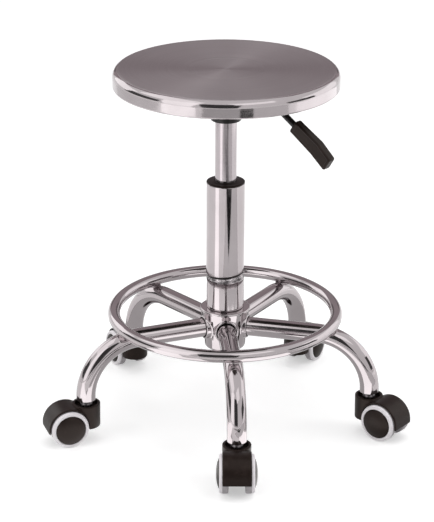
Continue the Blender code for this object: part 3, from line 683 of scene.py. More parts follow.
def mounting_plate():
    """Pressed square plate with rounded corners, the weld round the socket and two lever ears."""
    high = top("mount_plate")
    low = high - PLATE_T
    plate = block("plate", (-PLATE_HALF, -PLATE_HALF, low), (PLATE_HALF, PLATE_HALF, high))
    open_mesh(plate)
    pick_edges(plate, along=UP)
    bpy.ops.mesh.bevel(offset=PLATE_CORNER, segments=7, affect="EDGES")
    close_mesh(plate)
    round_edges(plate, PLATE_ROUND, steps=2)
    for side in (-1, 1):
        first, second = sorted((side * LEVER_BAY, side * (LEVER_BAY + EAR_T)))
        ear_low = (LEVER_PIVOT - EAR_HALF, first, LEVER_Z - EAR_DROP)
        ear_high = (LEVER_PIVOT + EAR_HALF, second, high - EAR_SINK)
        ear = block("ear", ear_low, ear_high)
        open_mesh(ear)
        pick_edges(ear, lambda point: point.z < LEVER_Z, along=ACROSS)
        bpy.ops.mesh.bevel(offset=EAR_CORNER, segments=6, affect="EDGES")
        close_mesh(ear)
        round_edges(ear, EAR_ROUND, steps=2)
        join_or_cut(plate, "UNION", ear)
    join_or_cut(plate, "UNION", hoop("bead", BEAD_R, low, BEAD_SIZE, bar_sides=10, steps=72))
    shade(plate)
    plate = turn_to_lever(plate, "mounting_plate")
    dress(plate, "seat", "black_paint", enamel)
    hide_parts("mount_plate")


mounting_plate()

SOCKET_R = 0.0196
SOCKET_MOUTH_R = 0.0144
SOCKET_BORE_R = 0.0136
SOCKET_BORE_H = 0.016
SOCKET_ROUND = 0.0008
SLOT_H = 0.0163
SLOT_REACH = 0.04
SLOT_OVER = 0.004  # past the socket's top


def taper_socket():
    """Collar on the pressure tube, rounded below, slotted for the lever."""
    high, low = top("taper_socket"), bottom("taper_socket")
    rings = [
        (SOCKET_MOUTH_R, low),
        (SOCKET_R, low),
        (SOCKET_R, high),
        (SOCKET_BORE_R, high),
        (SOCKET_BORE_R, high - SOCKET_BORE_H),
    ]
    socket = turn("taper_socket_turned", rings, sides=96, bore=True)
    round_edges(socket, SOCKET_ROUND)
    slot = block("slot", (0, -LEVER_BAY, high - SLOT_H), (SLOT_REACH, LEVER_BAY, high + SLOT_OVER))
    slot.rotation_euler.z = LEVER_WAY
    join_or_cut(socket, "DIFFERENCE", slot)
    shade(socket)
    dress(socket, "seat", "black_paint", enamel)
    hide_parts("taper_socket")


taper_socket()

SCREWS = range(1, 5)
SCREW_R = 0.00275
SCREW_CROWN = (0.0012, 0.0), (0.0038, 0.0002), (0.0050, 0.0012), (0.0055, 0.0028)  # radius and height
SCREW_HEAD_R = 0.0055
SCREW_HEAD_H = 0.0035
SCREW_POINT_R = 0.0003
SCREW_POINT_H = 0.003
SCREW_TURN = 0.4  # from one screw to the next, in radians
CROSS_LONG = 0.0026
CROSS_WIDE = 0.00055
CROSS_DEPTH = 0.0016
CROSS_OVER = 0.001  # past the head


def seat_screws():
    """Pan-head screws with a cross recess."""
    head, point = bottom("seat_screw_1"), top("seat_screw_1")
    rings = [
        *[(radius, head + rise) for radius, rise in SCREW_CROWN],
        (SCREW_HEAD_R, head + SCREW_HEAD_H),
        (SCREW_R, head + SCREW_HEAD_H),
        (SCREW_R, point - SCREW_POINT_H),
        (SCREW_POINT_R, point),
    ]
    screw = turn("screw", rings, sides=36)
    for half_x, half_y in ((CROSS_WIDE, CROSS_LONG), (CROSS_LONG, CROSS_WIDE)):
        cross = block("cross", (-half_x, -half_y, head - CROSS_OVER), (half_x, half_y, head + CROSS_DEPTH))
        join_or_cut(screw, "DIFFERENCE", cross)
    shade(screw)
    keep_form(screw)
    for number in SCREWS:
        low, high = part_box(f"seat_screw_{number}")
        middle = (low + high) / 2
        turned = (0, 0, SCREW_TURN * number)
        copy = copy_to(screw, f"pan_head_screw_{number}", (middle.x, middle.y, 0), turned)
        dress(copy, "seat", "plain_steel", zinc_copies)
        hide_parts(f"seat_screw_{number}")
    discard(screw)


seat_screws()


# Lever

LEVER_R = 0.004
LEVER_DROP = math.radians(32)
LEVER_BEND_AT = 0.068
LEVER_BEND_R = 0.015
LEVER_TO_GRIP = 0.051  # bend to the grip's mouth
LEVER_IN_GRIP = 0.028
LEVER_TAIL = 0.005  # past the column's axis
LEVER_ROUND = 0.0006
PIN_R = 0.0025
PIN_HALF = 0.0089
PIN_ROUND = 0.0004


def lever_bar():
    """Bent round bar with its trunnions."""
    half_bend = LEVER_BEND_R * math.tan(LEVER_DROP / 2)
    bend = LEVER_BEND_AT - half_bend
    bar = start_circle("bar", LEVER_R, 28, (-LEVER_TAIL, 0, LEVER_Z), (0, QUARTER, 0), filled=True)
    push(x=bend + LEVER_TAIL)
    bpy.ops.mesh.spin(steps=10, angle=-LEVER_DROP, center=(bend, 0, LEVER_Z - LEVER_BEND_R), axis=ACROSS)
    reach = LEVER_TO_GRIP + LEVER_IN_GRIP - half_bend
    push(x=reach * math.cos(LEVER_DROP), z=-reach * math.sin(LEVER_DROP))
    close_mesh(bar)
    round_edges(bar, LEVER_ROUND, steps=2, sharper=60)
    pin = rod("pin", PIN_R, (LEVER_PIVOT, -PIN_HALF, LEVER_Z), (LEVER_PIVOT, PIN_HALF, LEVER_Z), sides=28)
    round_edges(pin, PIN_ROUND, steps=2)
    join_or_cut(bar, "UNION", pin)
    shade(bar)
    bar = turn_to_lever(bar, "lever_bar")
    dress(bar, "lever", "black_paint", enamel)
    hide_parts("lever_rod")


lever_bar()

GRIP_SIZE = (0.0175, 0.0125)
GRIP_KINK_SIZE = (0.0190, 0.0135)
GRIP_TIP_SHARE = (0.95, 0.97)
GRIP_MOUTH = 0.006
GRIP_BODY = 0.0415  # mouth to kink
GRIP_TIP = 0.0265  # kink to end
GRIP_KINK = math.radians(9)
GRIP_ROUND = 0.0026
PANEL_START = 0.008
PANEL_STOP = 0.004  # before the end
PANEL_HALF = 0.010
PANEL_BORDER = 0.0013
PANEL_DEPTH = 0.0007
FLANK = 0.95  # least sideways share of a flank's normal


def lever_paddle():
    """Moulded grip: widens to a kink, ends in a tip, with a shallow panel in each flank."""
    end = GRIP_BODY + GRIP_TIP * math.cos(GRIP_KINK)
    shift = GRIP_TIP * math.sin(GRIP_KINK)
    bpy.ops.object.select_all(action="DESELECT")
    bpy.ops.mesh.primitive_plane_add(size=1)
    paddle = start_from("paddle")
    bpy.ops.object.mode_set(mode="EDIT")
    widen(*GRIP_SIZE, (0, 0, 0))
    push(z=GRIP_MOUTH)
    push(z=GRIP_BODY - GRIP_MOUTH)
    widen(GRIP_KINK_SIZE[0] / GRIP_SIZE[0], GRIP_KINK_SIZE[1] / GRIP_SIZE[1], (0, 0, GRIP_BODY))
    push(x=shift, z=end - GRIP_BODY)
    widen(*GRIP_TIP_SHARE, (shift, 0, end))
    close_mesh(paddle)
    round_edges(paddle, GRIP_ROUND, steps=4, sharper=25)

    def in_flank(middle, normal):
        inside = PANEL_START < middle.z < end - PANEL_STOP and abs(middle.x) < PANEL_HALF
        return inside and abs(normal.y) > FLANK

    open_mesh(paddle)
    pick_faces(paddle, in_flank)
    bpy.ops.mesh.inset(thickness=PANEL_BORDER, depth=-PANEL_DEPTH, use_boundary=True)
    close_mesh(paddle)
    mouth_x = LEVER_BEND_AT + LEVER_TO_GRIP * math.cos(LEVER_DROP)
    mouth_z = LEVER_Z - LEVER_TO_GRIP * math.sin(LEVER_DROP)
    sloped = copy_to(paddle, "sloped", (mouth_x, 0, mouth_z), (0, QUARTER + LEVER_DROP, 0))
    discard(paddle)
    grip = turn_to_lever(sloped, "lever_paddle")
    shade(grip)
    dress(grip, "lever", "black_plastic", black)
    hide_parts("lever_grip")


lever_paddle()


# Gas lift

TUBE_R = 0.0140
TUBE_TOP_R = 0.0132
TUBE_BORE_R = 0.0053
TUBE_RING = 0.04  # over the bush, divides the tube's length
TUBE_ROUND = 0.0007
VALVE_R = 0.0043
VALVE_H = 0.014
VALVE_CONE = 0.004


def pressure_tube():
    """Polished tube that slides in the cylinder."""
    high, low = top("pressure_tube"), bottom("pressure_tube")
    rings = [
        (TUBE_BORE_R, low),
        (TUBE_R, low),
        (TUBE_R, top("guide_bush") + TUBE_RING),
        (TUBE_R, bottom("taper_socket")),
        (TUBE_TOP_R, high),
        (VALVE_R, high),
        (VALVE_R, high - VALVE_H),
        (TUBE_BORE_R, high - VALVE_H - VALVE_CONE),
    ]
    tube = turn("pressure_tube_ground", rings, sides=112, bore=True)
    round_edges(tube, TUBE_ROUND)
    dress(tube, "seat", "chrome", ground)
    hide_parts("pressure_tube")


pressure_tube()

CYLINDER_R = 0.0250
CYLINDER_BORE_R = 0.0231
CYLINDER_ROUND = 0.0007
BUSH_BORE_R = 0.01435
BUSH_SKIRT_R = 0.0226
BUSH_SKIRT_H = 0.05
BUSH_TOP = (BUSH_BORE_R, 0.0002), (0.0158, 0.0), (0.0170, 0.0006), (0.0236, 0.0008)  # radius and drop
BUSH_EDGE_DROP = 0.0016
BUSH_ROUND = 0.00045


def guide_bush():
    """Black cap on the cylinder with a raised lip round the tube."""
    high = top("guide_bush")
    rest = top("gas_cylinder")
    rings = [
        *[(radius, high - drop) for radius, drop in BUSH_TOP],
        (CYLINDER_R, high - BUSH_EDGE_DROP),
        (CYLINDER_R, rest + CLEARANCE),
        (BUSH_SKIRT_R, rest + CLEARANCE),
        (BUSH_SKIRT_R, rest - BUSH_SKIRT_H),
        (BUSH_BORE_R, rest - BUSH_SKIRT_H),
    ]
    bush = turn("guide_cap", rings, sides=112, bore=True)
    round_edges(bush, BUSH_ROUND, sharper=25)
    dress(bush, "base", "black_plastic", black)
    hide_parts("guide_bush")


guide_bush()

SEAM_Z = top("column_sleeve")
SEAM_TILT = math.radians(5)
SEAM_PIVOT = 0.004  # under the seam
SEAM_SETTLE = 0.0006
SEAM_REACH = 0.0005  # over and under the seam


def tilt_seam(piece, wanted):
    """Turns the picked end of a piece askew, as the rolled neck is."""
    open_mesh(piece)
    pick_edges(piece, wanted)
    bpy.ops.transform.rotate(value=SEAM_TILT, orient_axis="Y", center_override=(0, 0, SEAM_Z - SEAM_PIVOT))
    bpy.ops.transform.translate(value=(0, 0, -SEAM_SETTLE))
    close_mesh(piece, crease=30)


CYLINDER_RING_Z = 0.27  # divides the cylinder's length
SPIGOT_R = 0.0220
SPIGOT_BORE_R = 0.0200
SPIGOT_FLOOR = 0.003
SPIGOT_HOLE_R = 0.0053
LEDGE = 0.0060  # over the seam, inside
LEDGE_SLOPE = 0.0002


def gas_cylinder():
    """Outer cylinder with rolled ends; its spigot goes down into the hub."""
    high, low = top("gas_cylinder"), bottom("gas_cylinder")
    rings = [
        (CYLINDER_BORE_R, high),
        (CYLINDER_R, high),
        (CYLINDER_R, CYLINDER_RING_Z),
        (CYLINDER_R, SEAM_Z + CLEARANCE),
        (SPIGOT_R, SEAM_Z + CLEARANCE),
        (SPIGOT_R, low),
        (SPIGOT_HOLE_R, low),
        (SPIGOT_HOLE_R, low + SPIGOT_FLOOR),
        (SPIGOT_BORE_R, low + SPIGOT_FLOOR),
        (SPIGOT_BORE_R, SEAM_Z + LEDGE),
        (CYLINDER_BORE_R, SEAM_Z + LEDGE + LEDGE_SLOPE),
    ]
    cylinder = turn("lift_cylinder", rings, sides=128, bore=True)
    tilt_seam(cylinder, lambda point: abs(point.z - SEAM_Z) < SEAM_REACH)
    round_edges(cylinder, CYLINDER_ROUND)
    dress(cylinder, "base", "chrome", chrome)
    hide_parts("gas_cylinder")


gas_cylinder()

SLEEVE_R = 0.0246
SLEEVE_FOOT_R = 0.0240
SLEEVE_BORE_R = 0.02245
SLEEVE_EDGE = 0.0008
SLEEVE_ROUND = 0.0003
NECK_H = 0.0085
NECK_UPPER = (0.0242, 0.0028), (0.0240, 0.0050)  # radius and depth under the seam
NECK_LOWER = (0.0243, 0.0016), (0.0236, 0.0006), (0.0236, 0.0)  # radius and height over the lower groove
GROOVE_R = 0.0231
GROOVE_H = 0.0022
GROOVE_SPAN = (0.0228, 0.0234)  # radii that take in the groove's faces
FINISH_OVER = 0.0004  # past the foot of the neck or groove
TILT_OVER = 0.0010  # past the foot of the neck


def column_sleeve():
    """Sleeve under the cylinder: a rolled neck between two grooves, then the plain skirt."""
    low = bottom("column_sleeve")
    neck = SEAM_Z - NECK_H
    rings = [
        (SLEEVE_BORE_R, SEAM_Z),
        (GROOVE_R, SEAM_Z),
        (GROOVE_R, SEAM_Z - GROOVE_H),
        *[(radius, SEAM_Z - depth) for radius, depth in NECK_UPPER],
        *[(radius, neck + rise) for radius, rise in NECK_LOWER],
        (SLEEVE_R, neck - SLEEVE_EDGE),
        (SLEEVE_R, low + SLEEVE_EDGE),
        (SLEEVE_FOOT_R, low),
        (SLEEVE_BORE_R, low),
    ]
    sleeve = turn("neck_sleeve", rings, sides=128, bore=True)
    round_edges(sleeve, SLEEVE_ROUND, steps=2, sharper=20)
    dress(sleeve, "base", "chrome", chrome, neck_dents_and_reflections, dark_in_gaps)
    near, far = GROOVE_SPAN

    def on_neck(middle, normal):
        return middle.z > neck - FINISH_OVER and middle.xy.length > far

    def in_groove(middle, normal):
        return middle.z > SEAM_Z - GROOVE_H - FINISH_OVER and near < middle.xy.length < far

    open_mesh(sleeve)
    refinish_faces(sleeve, 1, on_neck)
    # the groove's faces get painted shade
    refinish_faces(sleeve, 2, in_groove)
    close_mesh(sleeve, crease=30)
    tilt_seam(sleeve, lambda point: point.z > neck - TILT_OVER)
    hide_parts("column_sleeve")


column_sleeve()


# Base

LEG_R = 0.0125
LEG_BEND_R = 0.072
LEG_REACH = 0.196
LEG_ROOT = 0.0254
LEG_END_Z = bottom("leg_1")
LEG_AXIS_Z = top("leg_1") - LEG_R
LEG_BEND_Z = LEG_AXIS_Z - LEG_BEND_R
LEG_BEND_X = LEG_REACH - LEG_BEND_R
FOOT_ROUND = 0.0008
FOOT_SHARES = (0.95, 0.86, 0.52)  # rounded end, tube's wall and nut's thread, each as a share of the last
NUT_RECESS = 0.0009
NUT_OVER = 0.002  # past the stem's end
NUT_DEPTH = top("caster_stem_1") - LEG_END_Z + NUT_OVER
leg_ways = {}
for leg in LEGS:
    stem = joints[f"caster_swivel_{leg}"]["pos_m"]
    leg_ways[leg] = math.atan2(stem[1], stem[0])


def leg_tubes():
    """Bent tubes, each with the nut for its caster welded into the end."""
    half_run = (LEG_BEND_X - LEG_ROOT) / 2
    foot = (LEG_REACH, 0, LEG_END_Z)
    rounded, wall, thread = FOOT_SHARES
    tube = start_circle("tube", LEG_R, 48, (LEG_ROOT, 0, LEG_AXIS_Z), (0, QUARTER, 0))
    push(x=half_run)
    push(x=half_run)
    bpy.ops.mesh.spin(steps=36, angle=-QUARTER, center=(LEG_BEND_X, 0, LEG_BEND_Z), axis=ACROSS)
    push(z=LEG_END_Z + FOOT_ROUND - LEG_BEND_Z)
    push(z=-FOOT_ROUND)
    widen(rounded, rounded, foot)
    push()
    widen(wall, wall, foot)
    push(z=NUT_RECESS)
    push()
    widen(thread, thread, foot)
    push(z=NUT_DEPTH)
    bpy.ops.mesh.edge_face_add()
    pick_edges(tube, lambda point: abs(point.x - LEG_ROOT) < DOUBLES)
    bpy.ops.mesh.edge_face_add()
    close_mesh(tube, crease=30)
    keep_form(tube)
    for leg, way in leg_ways.items():
        copy = copy_to(tube, f"leg_tube_{leg}", rotation=(0, 0, way))
        dress(copy, "base", "chrome", chrome_copies)
        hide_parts(f"leg_{leg}")
    discard(tube)


leg_tubes()

RING_R = 0.147
RING_TUBE_R = 0.008
RING_Z = top("foot_ring") - RING_TUBE_R


def foot_ring():
    """Hoop of round tube."""
    ring = hoop("foot_hoop", RING_R, RING_Z, RING_TUBE_R, bar_sides=32, steps=200)
    dress(ring, "base", "chrome", chrome)
    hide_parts("foot_ring")


foot_ring()

WELD_SIZE = (0.0062, 0.0072, 0.0021)
WELD_INWARDS = 0.0012
WELD_SINK = 0.0003


def ring_welds():
    """Small chromed weld between the ring and each leg."""
    contact_z = RING_Z - RING_TUBE_R
    bpy.ops.object.select_all(action="DESELECT")
    bpy.ops.mesh.primitive_uv_sphere_add(segments=32, ring_count=16, radius=1)
    weld = start_from("weld")
    bpy.ops.object.mode_set(mode="EDIT")
    bpy.ops.mesh.select_all(action="SELECT")
    bpy.ops.transform.resize(value=WELD_SIZE, center_override=(0, 0, 0))
    bpy.ops.mesh.subdivide(number_cuts=1, fractal=0.25, seed=4)
    bpy.ops.mesh.vertices_smooth(factor=0.5, repeat=3)
    bpy.ops.transform.translate(value=(RING_R - WELD_INWARDS, 0, contact_z - WELD_SINK))
    close_mesh(weld, crease=60)
    keep_form(weld)
    for leg, way in leg_ways.items():
        copy = copy_to(weld, f"ring_weld_{leg}", rotation=(0, 0, way))
        dress(copy, "base", "chrome", chrome_copies)
    discard(weld)


ring_welds()

HUB_FOOT_R = 0.0266
HUB_DECK_R = 0.0330
HUB_EDGE = 0.0012
HUB_FLARE_H = 0.019
HUB_FLARE = (0.0299, 0.0), (0.0306, 0.006), (0.0317, 0.011), (HUB_DECK_R, 0.0155)  # radius and height
HUB_BORE_R = 0.0226
HUB_BORE_OVER = 0.01  # past both faces
COLLAR_WALL = 0.0030
COLLAR_SPAN = (0.012, 0.0315)  # from the column's axis
ROOT_CUT_END = 0.06  # from the column's axis
ROOT_GAP = 0.0014  # round a leg's root
ROOT_GAP_FLOOR = 0.0290  # from the column's axis
ROOT_GAP_MARGIN = (0.0005, 0.00005)  # along and across, within which a face counts as the gap's


def leg_direction(way):
    return Vector((math.cos(way), math.sin(way), 0))


def leg_rod(name, radius, way, start, end):
    """Round bar on a leg's upper axis, between two distances from the column's axis."""
    out = leg_direction(way)
    lift = UP * LEG_AXIS_Z
    return rod(name, radius, out * start + lift, out * end + lift, sides=64)


def in_root_gap(middle, normal):
    """Whether a face of the hub lies in the gap round a leg's root."""
    along, across = ROOT_GAP_MARGIN
    for way in leg_ways.values():
        out = leg_direction(way)
        reach = middle.dot(out)
        aside = middle - reach * out - UP * LEG_AXIS_Z
        if reach > ROOT_GAP_FLOOR - along and aside.length < LEG_R + ROOT_GAP + across:
            return True
    return False


def star_hub():
    """Casting: bell with a flared deck and a soft collar round each leg's root."""
    high, low = top("hub"), bottom("hub")
    flare = high - HUB_FLARE_H
    rings = [
        (HUB_FOOT_R - HUB_EDGE, low),
        (HUB_FOOT_R, low + HUB_EDGE),
        *[(radius, flare + rise) for radius, rise in HUB_FLARE],
        (HUB_DECK_R, high - HUB_EDGE),
        (HUB_DECK_R - HUB_EDGE, high),
    ]
    hub = turn("star_hub", rings, sides=112)
    for way in leg_ways.values():
        join_or_cut(hub, "UNION", leg_rod("collar", LEG_R + COLLAR_WALL, way, *COLLAR_SPAN))
    cast(hub, voxel=0.0009, rounds=6, share=0.4)
    cuts = [rod("bore", HUB_BORE_R, (0, 0, low - HUB_BORE_OVER), (0, 0, high + HUB_BORE_OVER), sides=112)]
    for way in leg_ways.values():
        cuts.append(leg_rod("root", LEG_R + CLEARANCE, way, LEG_ROOT - CLEARANCE, ROOT_CUT_END))
        cuts.append(leg_rod("gap", LEG_R + ROOT_GAP, way, ROOT_GAP_FLOOR, ROOT_CUT_END))
    join_or_cut(hub, "DIFFERENCE", *cuts)
    clear_slivers(hub)
    dress(hub, "base", "chrome", chrome, dark_in_gaps)
    open_mesh(hub)
    # the faces in the gap round each leg's root get painted shade
    refinish_faces(hub, 1, in_root_gap)
    bpy.ops.object.mode_set(mode="OBJECT")
    shade(hub, crease=40)
    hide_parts("hub")


star_hub()


# Casters

TRAIL = 0.027
AXLE_Z = 0.025
HOOD_LOW = bottom("caster_hood_1")
HOOD_HIGH = top("caster_hood_1")
HOOD_HALF = 0.01875
HOOD_ROUND = 0.0022
BOSS_R = 0.0184
BOSS_FOOT_R = 0.0180
BOSS_FOOT_Z = 0.012
BOSS_DROP = 0.0007  # under the fender's top
BOSS_STRAIGHT = 0.004
BOSS_RECESS_R = (0.0150, 0.0155)  # at its floor and over its mouth
BOSS_RECESS_H = 0.006
POCKET_R = 0.0262
WEB_HALF = 0.0099
STEM_HOLE_R = 0.0055
AXLE_HOLE_R = 0.0034
CUT_OVER = 0.01  # past the boss
CUT_REACH = 0.05  # from the caster's middle to past the hood's flanks
UNDERCUT = (-0.06, -0.06, -0.05), (0.12, 0.06, HOOD_LOW)  # corners of what is cut away below
stem_places = {}
axle_places = {}
caster_ways = {}
for leg in LEGS:
    stem = Vector(joints[f"caster_swivel_{leg}"]["pos_m"])
    axle = Vector(joints[f"wheel_spin_{leg}_left"]["pos_m"])
    trail = axle - stem
    stem_places[leg] = (stem.x, stem.y, 0)
    axle_places[leg] = axle
    caster_ways[leg] = math.atan2(trail.y, trail.x)


def axle_rod(name, radius, start, end, sides):
    """Round bar on the axle's line, between two distances from the caster's middle."""
    return rod(name, radius, (TRAIL, start, AXLE_Z), (TRAIL, end, AXLE_Z), sides)


def caster_hoods():
    """Moulded hood: ringed boss for the stem, fender over the wheels, web between them."""
    boss_top = HOOD_HIGH - BOSS_DROP
    hood = axle_rod("hood", HOOD_HIGH - AXLE_Z, -HOOD_HALF, HOOD_HALF, sides=112)
    round_edges(hood, HOOD_ROUND, steps=4)
    boss_rings = [(BOSS_FOOT_R, BOSS_FOOT_Z), (BOSS_R, boss_top - BOSS_STRAIGHT), (BOSS_R, boss_top)]
    join_or_cut(hood, "UNION", turn("boss", boss_rings, sides=96))
    pockets = [axle_rod("pocket", POCKET_R, side * WEB_HALF, side * CUT_REACH, sides=96) for side in (-1, 1)]
    join_or_cut(hood, "DIFFERENCE", block("below", *UNDERCUT), *pockets)
    cast(hood, voxel=0.0007, rounds=3, share=0.35)
    floor_r, mouth_r = BOSS_RECESS_R
    recess = turn("recess", [(floor_r, boss_top - BOSS_RECESS_H), (mouth_r, boss_top + CUT_OVER)], sides=96)
    stem_hole = rod("stem_hole", STEM_HOLE_R, (0, 0, 0), (0, 0, HOOD_HIGH), sides=32)
    axle_hole = axle_rod("axle_hole", AXLE_HOLE_R, -CUT_REACH, CUT_REACH, sides=32)
    join_or_cut(hood, "DIFFERENCE", recess, stem_hole, axle_hole)
    clear_slivers(hood)
    shade(hood, crease=40)
    keep_form(hood)
    for leg in LEGS:
        copy = copy_to(hood, f"hood_{leg}", stem_places[leg], (0, 0, caster_ways[leg]))
        dress(copy, f"caster_{leg}", "black_plastic", black_copies)
        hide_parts(f"caster_hood_{leg}")
    discard(hood)


caster_hoods()

STEM_R = 0.0049
STEM_END_R = 0.0042
STEM_CHAMFER = 0.001
HEX_R = 0.008
HEX_SINK = 0.0064  # hood's top to the hexagon's foot
HEX_ROUND = 0.0005
DOME_H = 0.0058
# Rings of the domed collar: a radius and a depth under its top
DOME = (
    (0.0086, 0.0068),
    (0.0086, DOME_H),
    (0.0083, 0.0044),
    (0.0076, 0.0028),
    (0.0066, 0.0014),
    (0.0056, 0.0005),
)


def caster_stems():
    """Stem with its hexagon and a domed collar between hood and leg."""
    low, high = bottom("caster_stem_1"), top("caster_stem_1")
    hex_low = HOOD_HIGH - HEX_SINK
    dome_top = LEG_END_Z - CLEARANCE
    hex_high = dome_top - DOME_H
    stem = rod("stem", HEX_R, (0, 0, hex_low), (0, 0, hex_high), sides=6)
    round_edges(stem, HEX_ROUND, steps=2)
    shank_rings = [
        (STEM_END_R, low),
        (STEM_R, low + STEM_CHAMFER),
        (STEM_R, high - STEM_CHAMFER),
        (STEM_END_R, high),
    ]
    shank = turn("shank", shank_rings, sides=32)
    collar = turn("collar", [(radius, dome_top - depth) for radius, depth in DOME], sides=48)
    join_or_cut(stem, "UNION", shank, collar)
    shade(stem, crease=25)
    keep_form(stem)
    for leg in LEGS:
        copy = copy_to(stem, f"stem_{leg}", stem_places[leg], (0, 0, leg_ways[leg]))
        # the stem's zinc is darkened as painted shade for the hood's shaded bowl
        dress(copy, "base", "plain_steel", zinc_painted_dark)
        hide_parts(f"caster_stem_{leg}")
    discard(stem)


caster_stems()

# Rings of the wheel's pieces: a radius and a distance from the caster's middle
TREAD = (0.0213, 0.0106), (0.0241, 0.0106), (0.0250, 0.0116), (0.0250, 0.0182), (0.0213, 0.0182)
TYRE_SIDE = (
    (0.0200, 0.0183),
    (0.02485, 0.0183),
    (0.02485, 0.0194),
    (0.0244, 0.0208),
    (0.0235, 0.0220),
    (0.0228, 0.0224),
    (0.0204, 0.0224),
    (0.0200, 0.0219),
)
DISC = (
    (0.0060, 0.0190),
    (0.0197, 0.0190),
    (0.0197, 0.0221),
    (0.0192, 0.0226),
    (0.0180, 0.0231),
    (0.0150, 0.0243),
    (0.0110, 0.0253),
    (0.0060, 0.0259),
    (0.0020, 0.0260),
)
CORE = (
    (0.0036, 0.0110),
    (0.0062, 0.0107),
    (0.0062, 0.0150),
    (0.0175, 0.0150),
    (0.0180, 0.0107),
    (0.0210, 0.0107),
    (0.0210, 0.0180),
    (0.0036, 0.0180),
)
TREAD_ROUND = 0.0004
WHEEL_ROUND = 0.0003


def caster_wheels():
    """Twin wheels: grey tread, white side, black domed disc outside and a hollow core inside."""
    tread = turn("tread", TREAD, sides=112, bore=True)
    round_edges(tread, TREAD_ROUND, steps=2, sharper=20)
    tyre_side = turn("side", TYRE_SIDE, sides=112, bore=True)
    round_edges(tyre_side, WHEEL_ROUND, steps=2, sharper=20)
    disc = turn("disc", DISC, sides=112)
    core = turn("core", CORE, sides=96, bore=True)
    round_edges(core, WHEEL_ROUND, steps=2)
    for part in (tread, tyre_side, disc, core):
        shade(part, crease=32)
        keep_form(part)
    for leg in LEGS:
        for side, tip in (("left", -QUARTER), ("right", QUARTER)):
            wheel = f"{leg}_{side}"
            body = f"wheel_{wheel}"
            place = (axle_places[leg], (tip, 0, caster_ways[leg]))
            fitted = copy_to(tread, f"tread_{wheel}", *place)
            dress(fitted, body, "pale_tread", tread_grey)
            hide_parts(f"tyre_{wheel}")
            dress(copy_to(tyre_side, f"tyre_side_{wheel}", *place), body, "pale_tread", tyre_white)
            fitted = copy_to(disc, f"wheel_disc_{wheel}", *place)
            dress(fitted, body, "black_plastic", black_copies)
            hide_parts(f"wheel_{wheel}")
            dress(copy_to(core, f"wheel_core_{wheel}", *place), body, "black_plastic", black_copies)
    discard(tread, tyre_side, disc, core)


caster_wheels()


# Pieces that keep their shape

for node in ("thrust_bearing", "piston_rod", "retaining_clip", "valve_pin", *[f"axle_{leg}" for leg in LEGS]):
    frame["nodes"][node].data.materials.clear()
    frame["nodes"][node].data.materials.append(zinc)


# Floor, light and camera

FLOOR_SIZE = 14
FLOOR_GREY = (0.80, 0.80, 0.80, 1)
FLOOR_GLOW = (0.45, 0.66)  # near the stool and far from it
FLOOR_GLOW_AT = (0.7, 3.5)  # from the column's axis
WORLD_STRENGTH = (0.45, 1.0)  # as light, and where the background shows
WHITE = (1, 1, 1)
ROSE = (1.0, 0.87, 0.91)


def shown_rays(tree):
    """1 for rays that show the background: from the camera, off gloss or through glass."""
    path = add_node(tree, "LightPath").outputs
    seen = calculate(tree, "MAXIMUM", path["Is Camera Ray"], path["Is Glossy Ray"])
    return calculate(tree, "MAXIMUM", seen, path["Is Transmission Ray"])


def studio_floor():
    """Pale floor that keeps the stool's shadow."""
    bpy.ops.object.select_all(action="DESELECT")
    bpy.ops.mesh.primitive_plane_add(size=FLOOR_SIZE, location=(0, 0, -CLEARANCE))
    floor = start_from("studio_floor")
    made, tree, shader, place = new_finish("pale_floor", metallic=0.0)
    glow = between(tree, length_of(tree, place), FLOOR_GLOW_AT, FLOOR_GLOW)
    shown_glow = calculate(tree, "MULTIPLY", shown_rays(tree), glow)
    set_inputs(tree, shader, Base_Color=FLOOR_GREY, Roughness=0.9, Specular_IOR_Level=0.1)
    set_inputs(tree, shader, Emission_Color=(*WHITE, 1), Emission_Strength=shown_glow)
    floor.data.materials.append(made)


studio_floor()


def studio_world():
    """White to the eye and in gloss, plain soft light otherwise."""
    world = bpy.data.worlds.new("studio")
    bpy.context.scene.world = world
    world.use_nodes = True
    tree = world.node_tree
    strength = between(tree, shown_rays(tree), (0.0, 1.0), WORLD_STRENGTH)
    set_inputs(tree, tree.nodes["Background"], Color=(*WHITE, 1), Strength=strength)


studio_world()


def soft_lamp(name, place, aim, size, power):
    """Area lamp that lights the stool without showing in its gloss."""
    light = bpy.data.lights.new(name, "AREA")
    light.shape = "RECTANGLE"
    light.size, light.size_y = size
    light.energy = power
    lamp = bpy.data.objects.new(name, light)
    lamp.location = place
    lamp.rotation_euler = (Vector(aim) - Vector(place)).to_track_quat("-Z", "Y").to_euler()
    lamp.visible_glossy = False
    bpy.context.scene.collection.objects.link(lamp)


soft_lamp("top_softbox", place=(0.2, 0.1, 2.4), aim=(0, 0, 0.2), size=(2.6, 2.2), power=24)
soft_lamp("left_softbox", place=(-2.1, -1.2, 1.4), aim=(0, 0, 0.25), size=(1.5, 1.8), power=16)
soft_lamp("right_softbox", place=(2.2, -0.3, 1.2), aim=(0, 0, 0.25), size=(1.0, 1.8), power=12)

CARD_DISTANCE = 2.6
CARD_AIM = Vector((0, 0, 0.2))
CARD_LAYER = 0.0006  # between cards that lie on one another


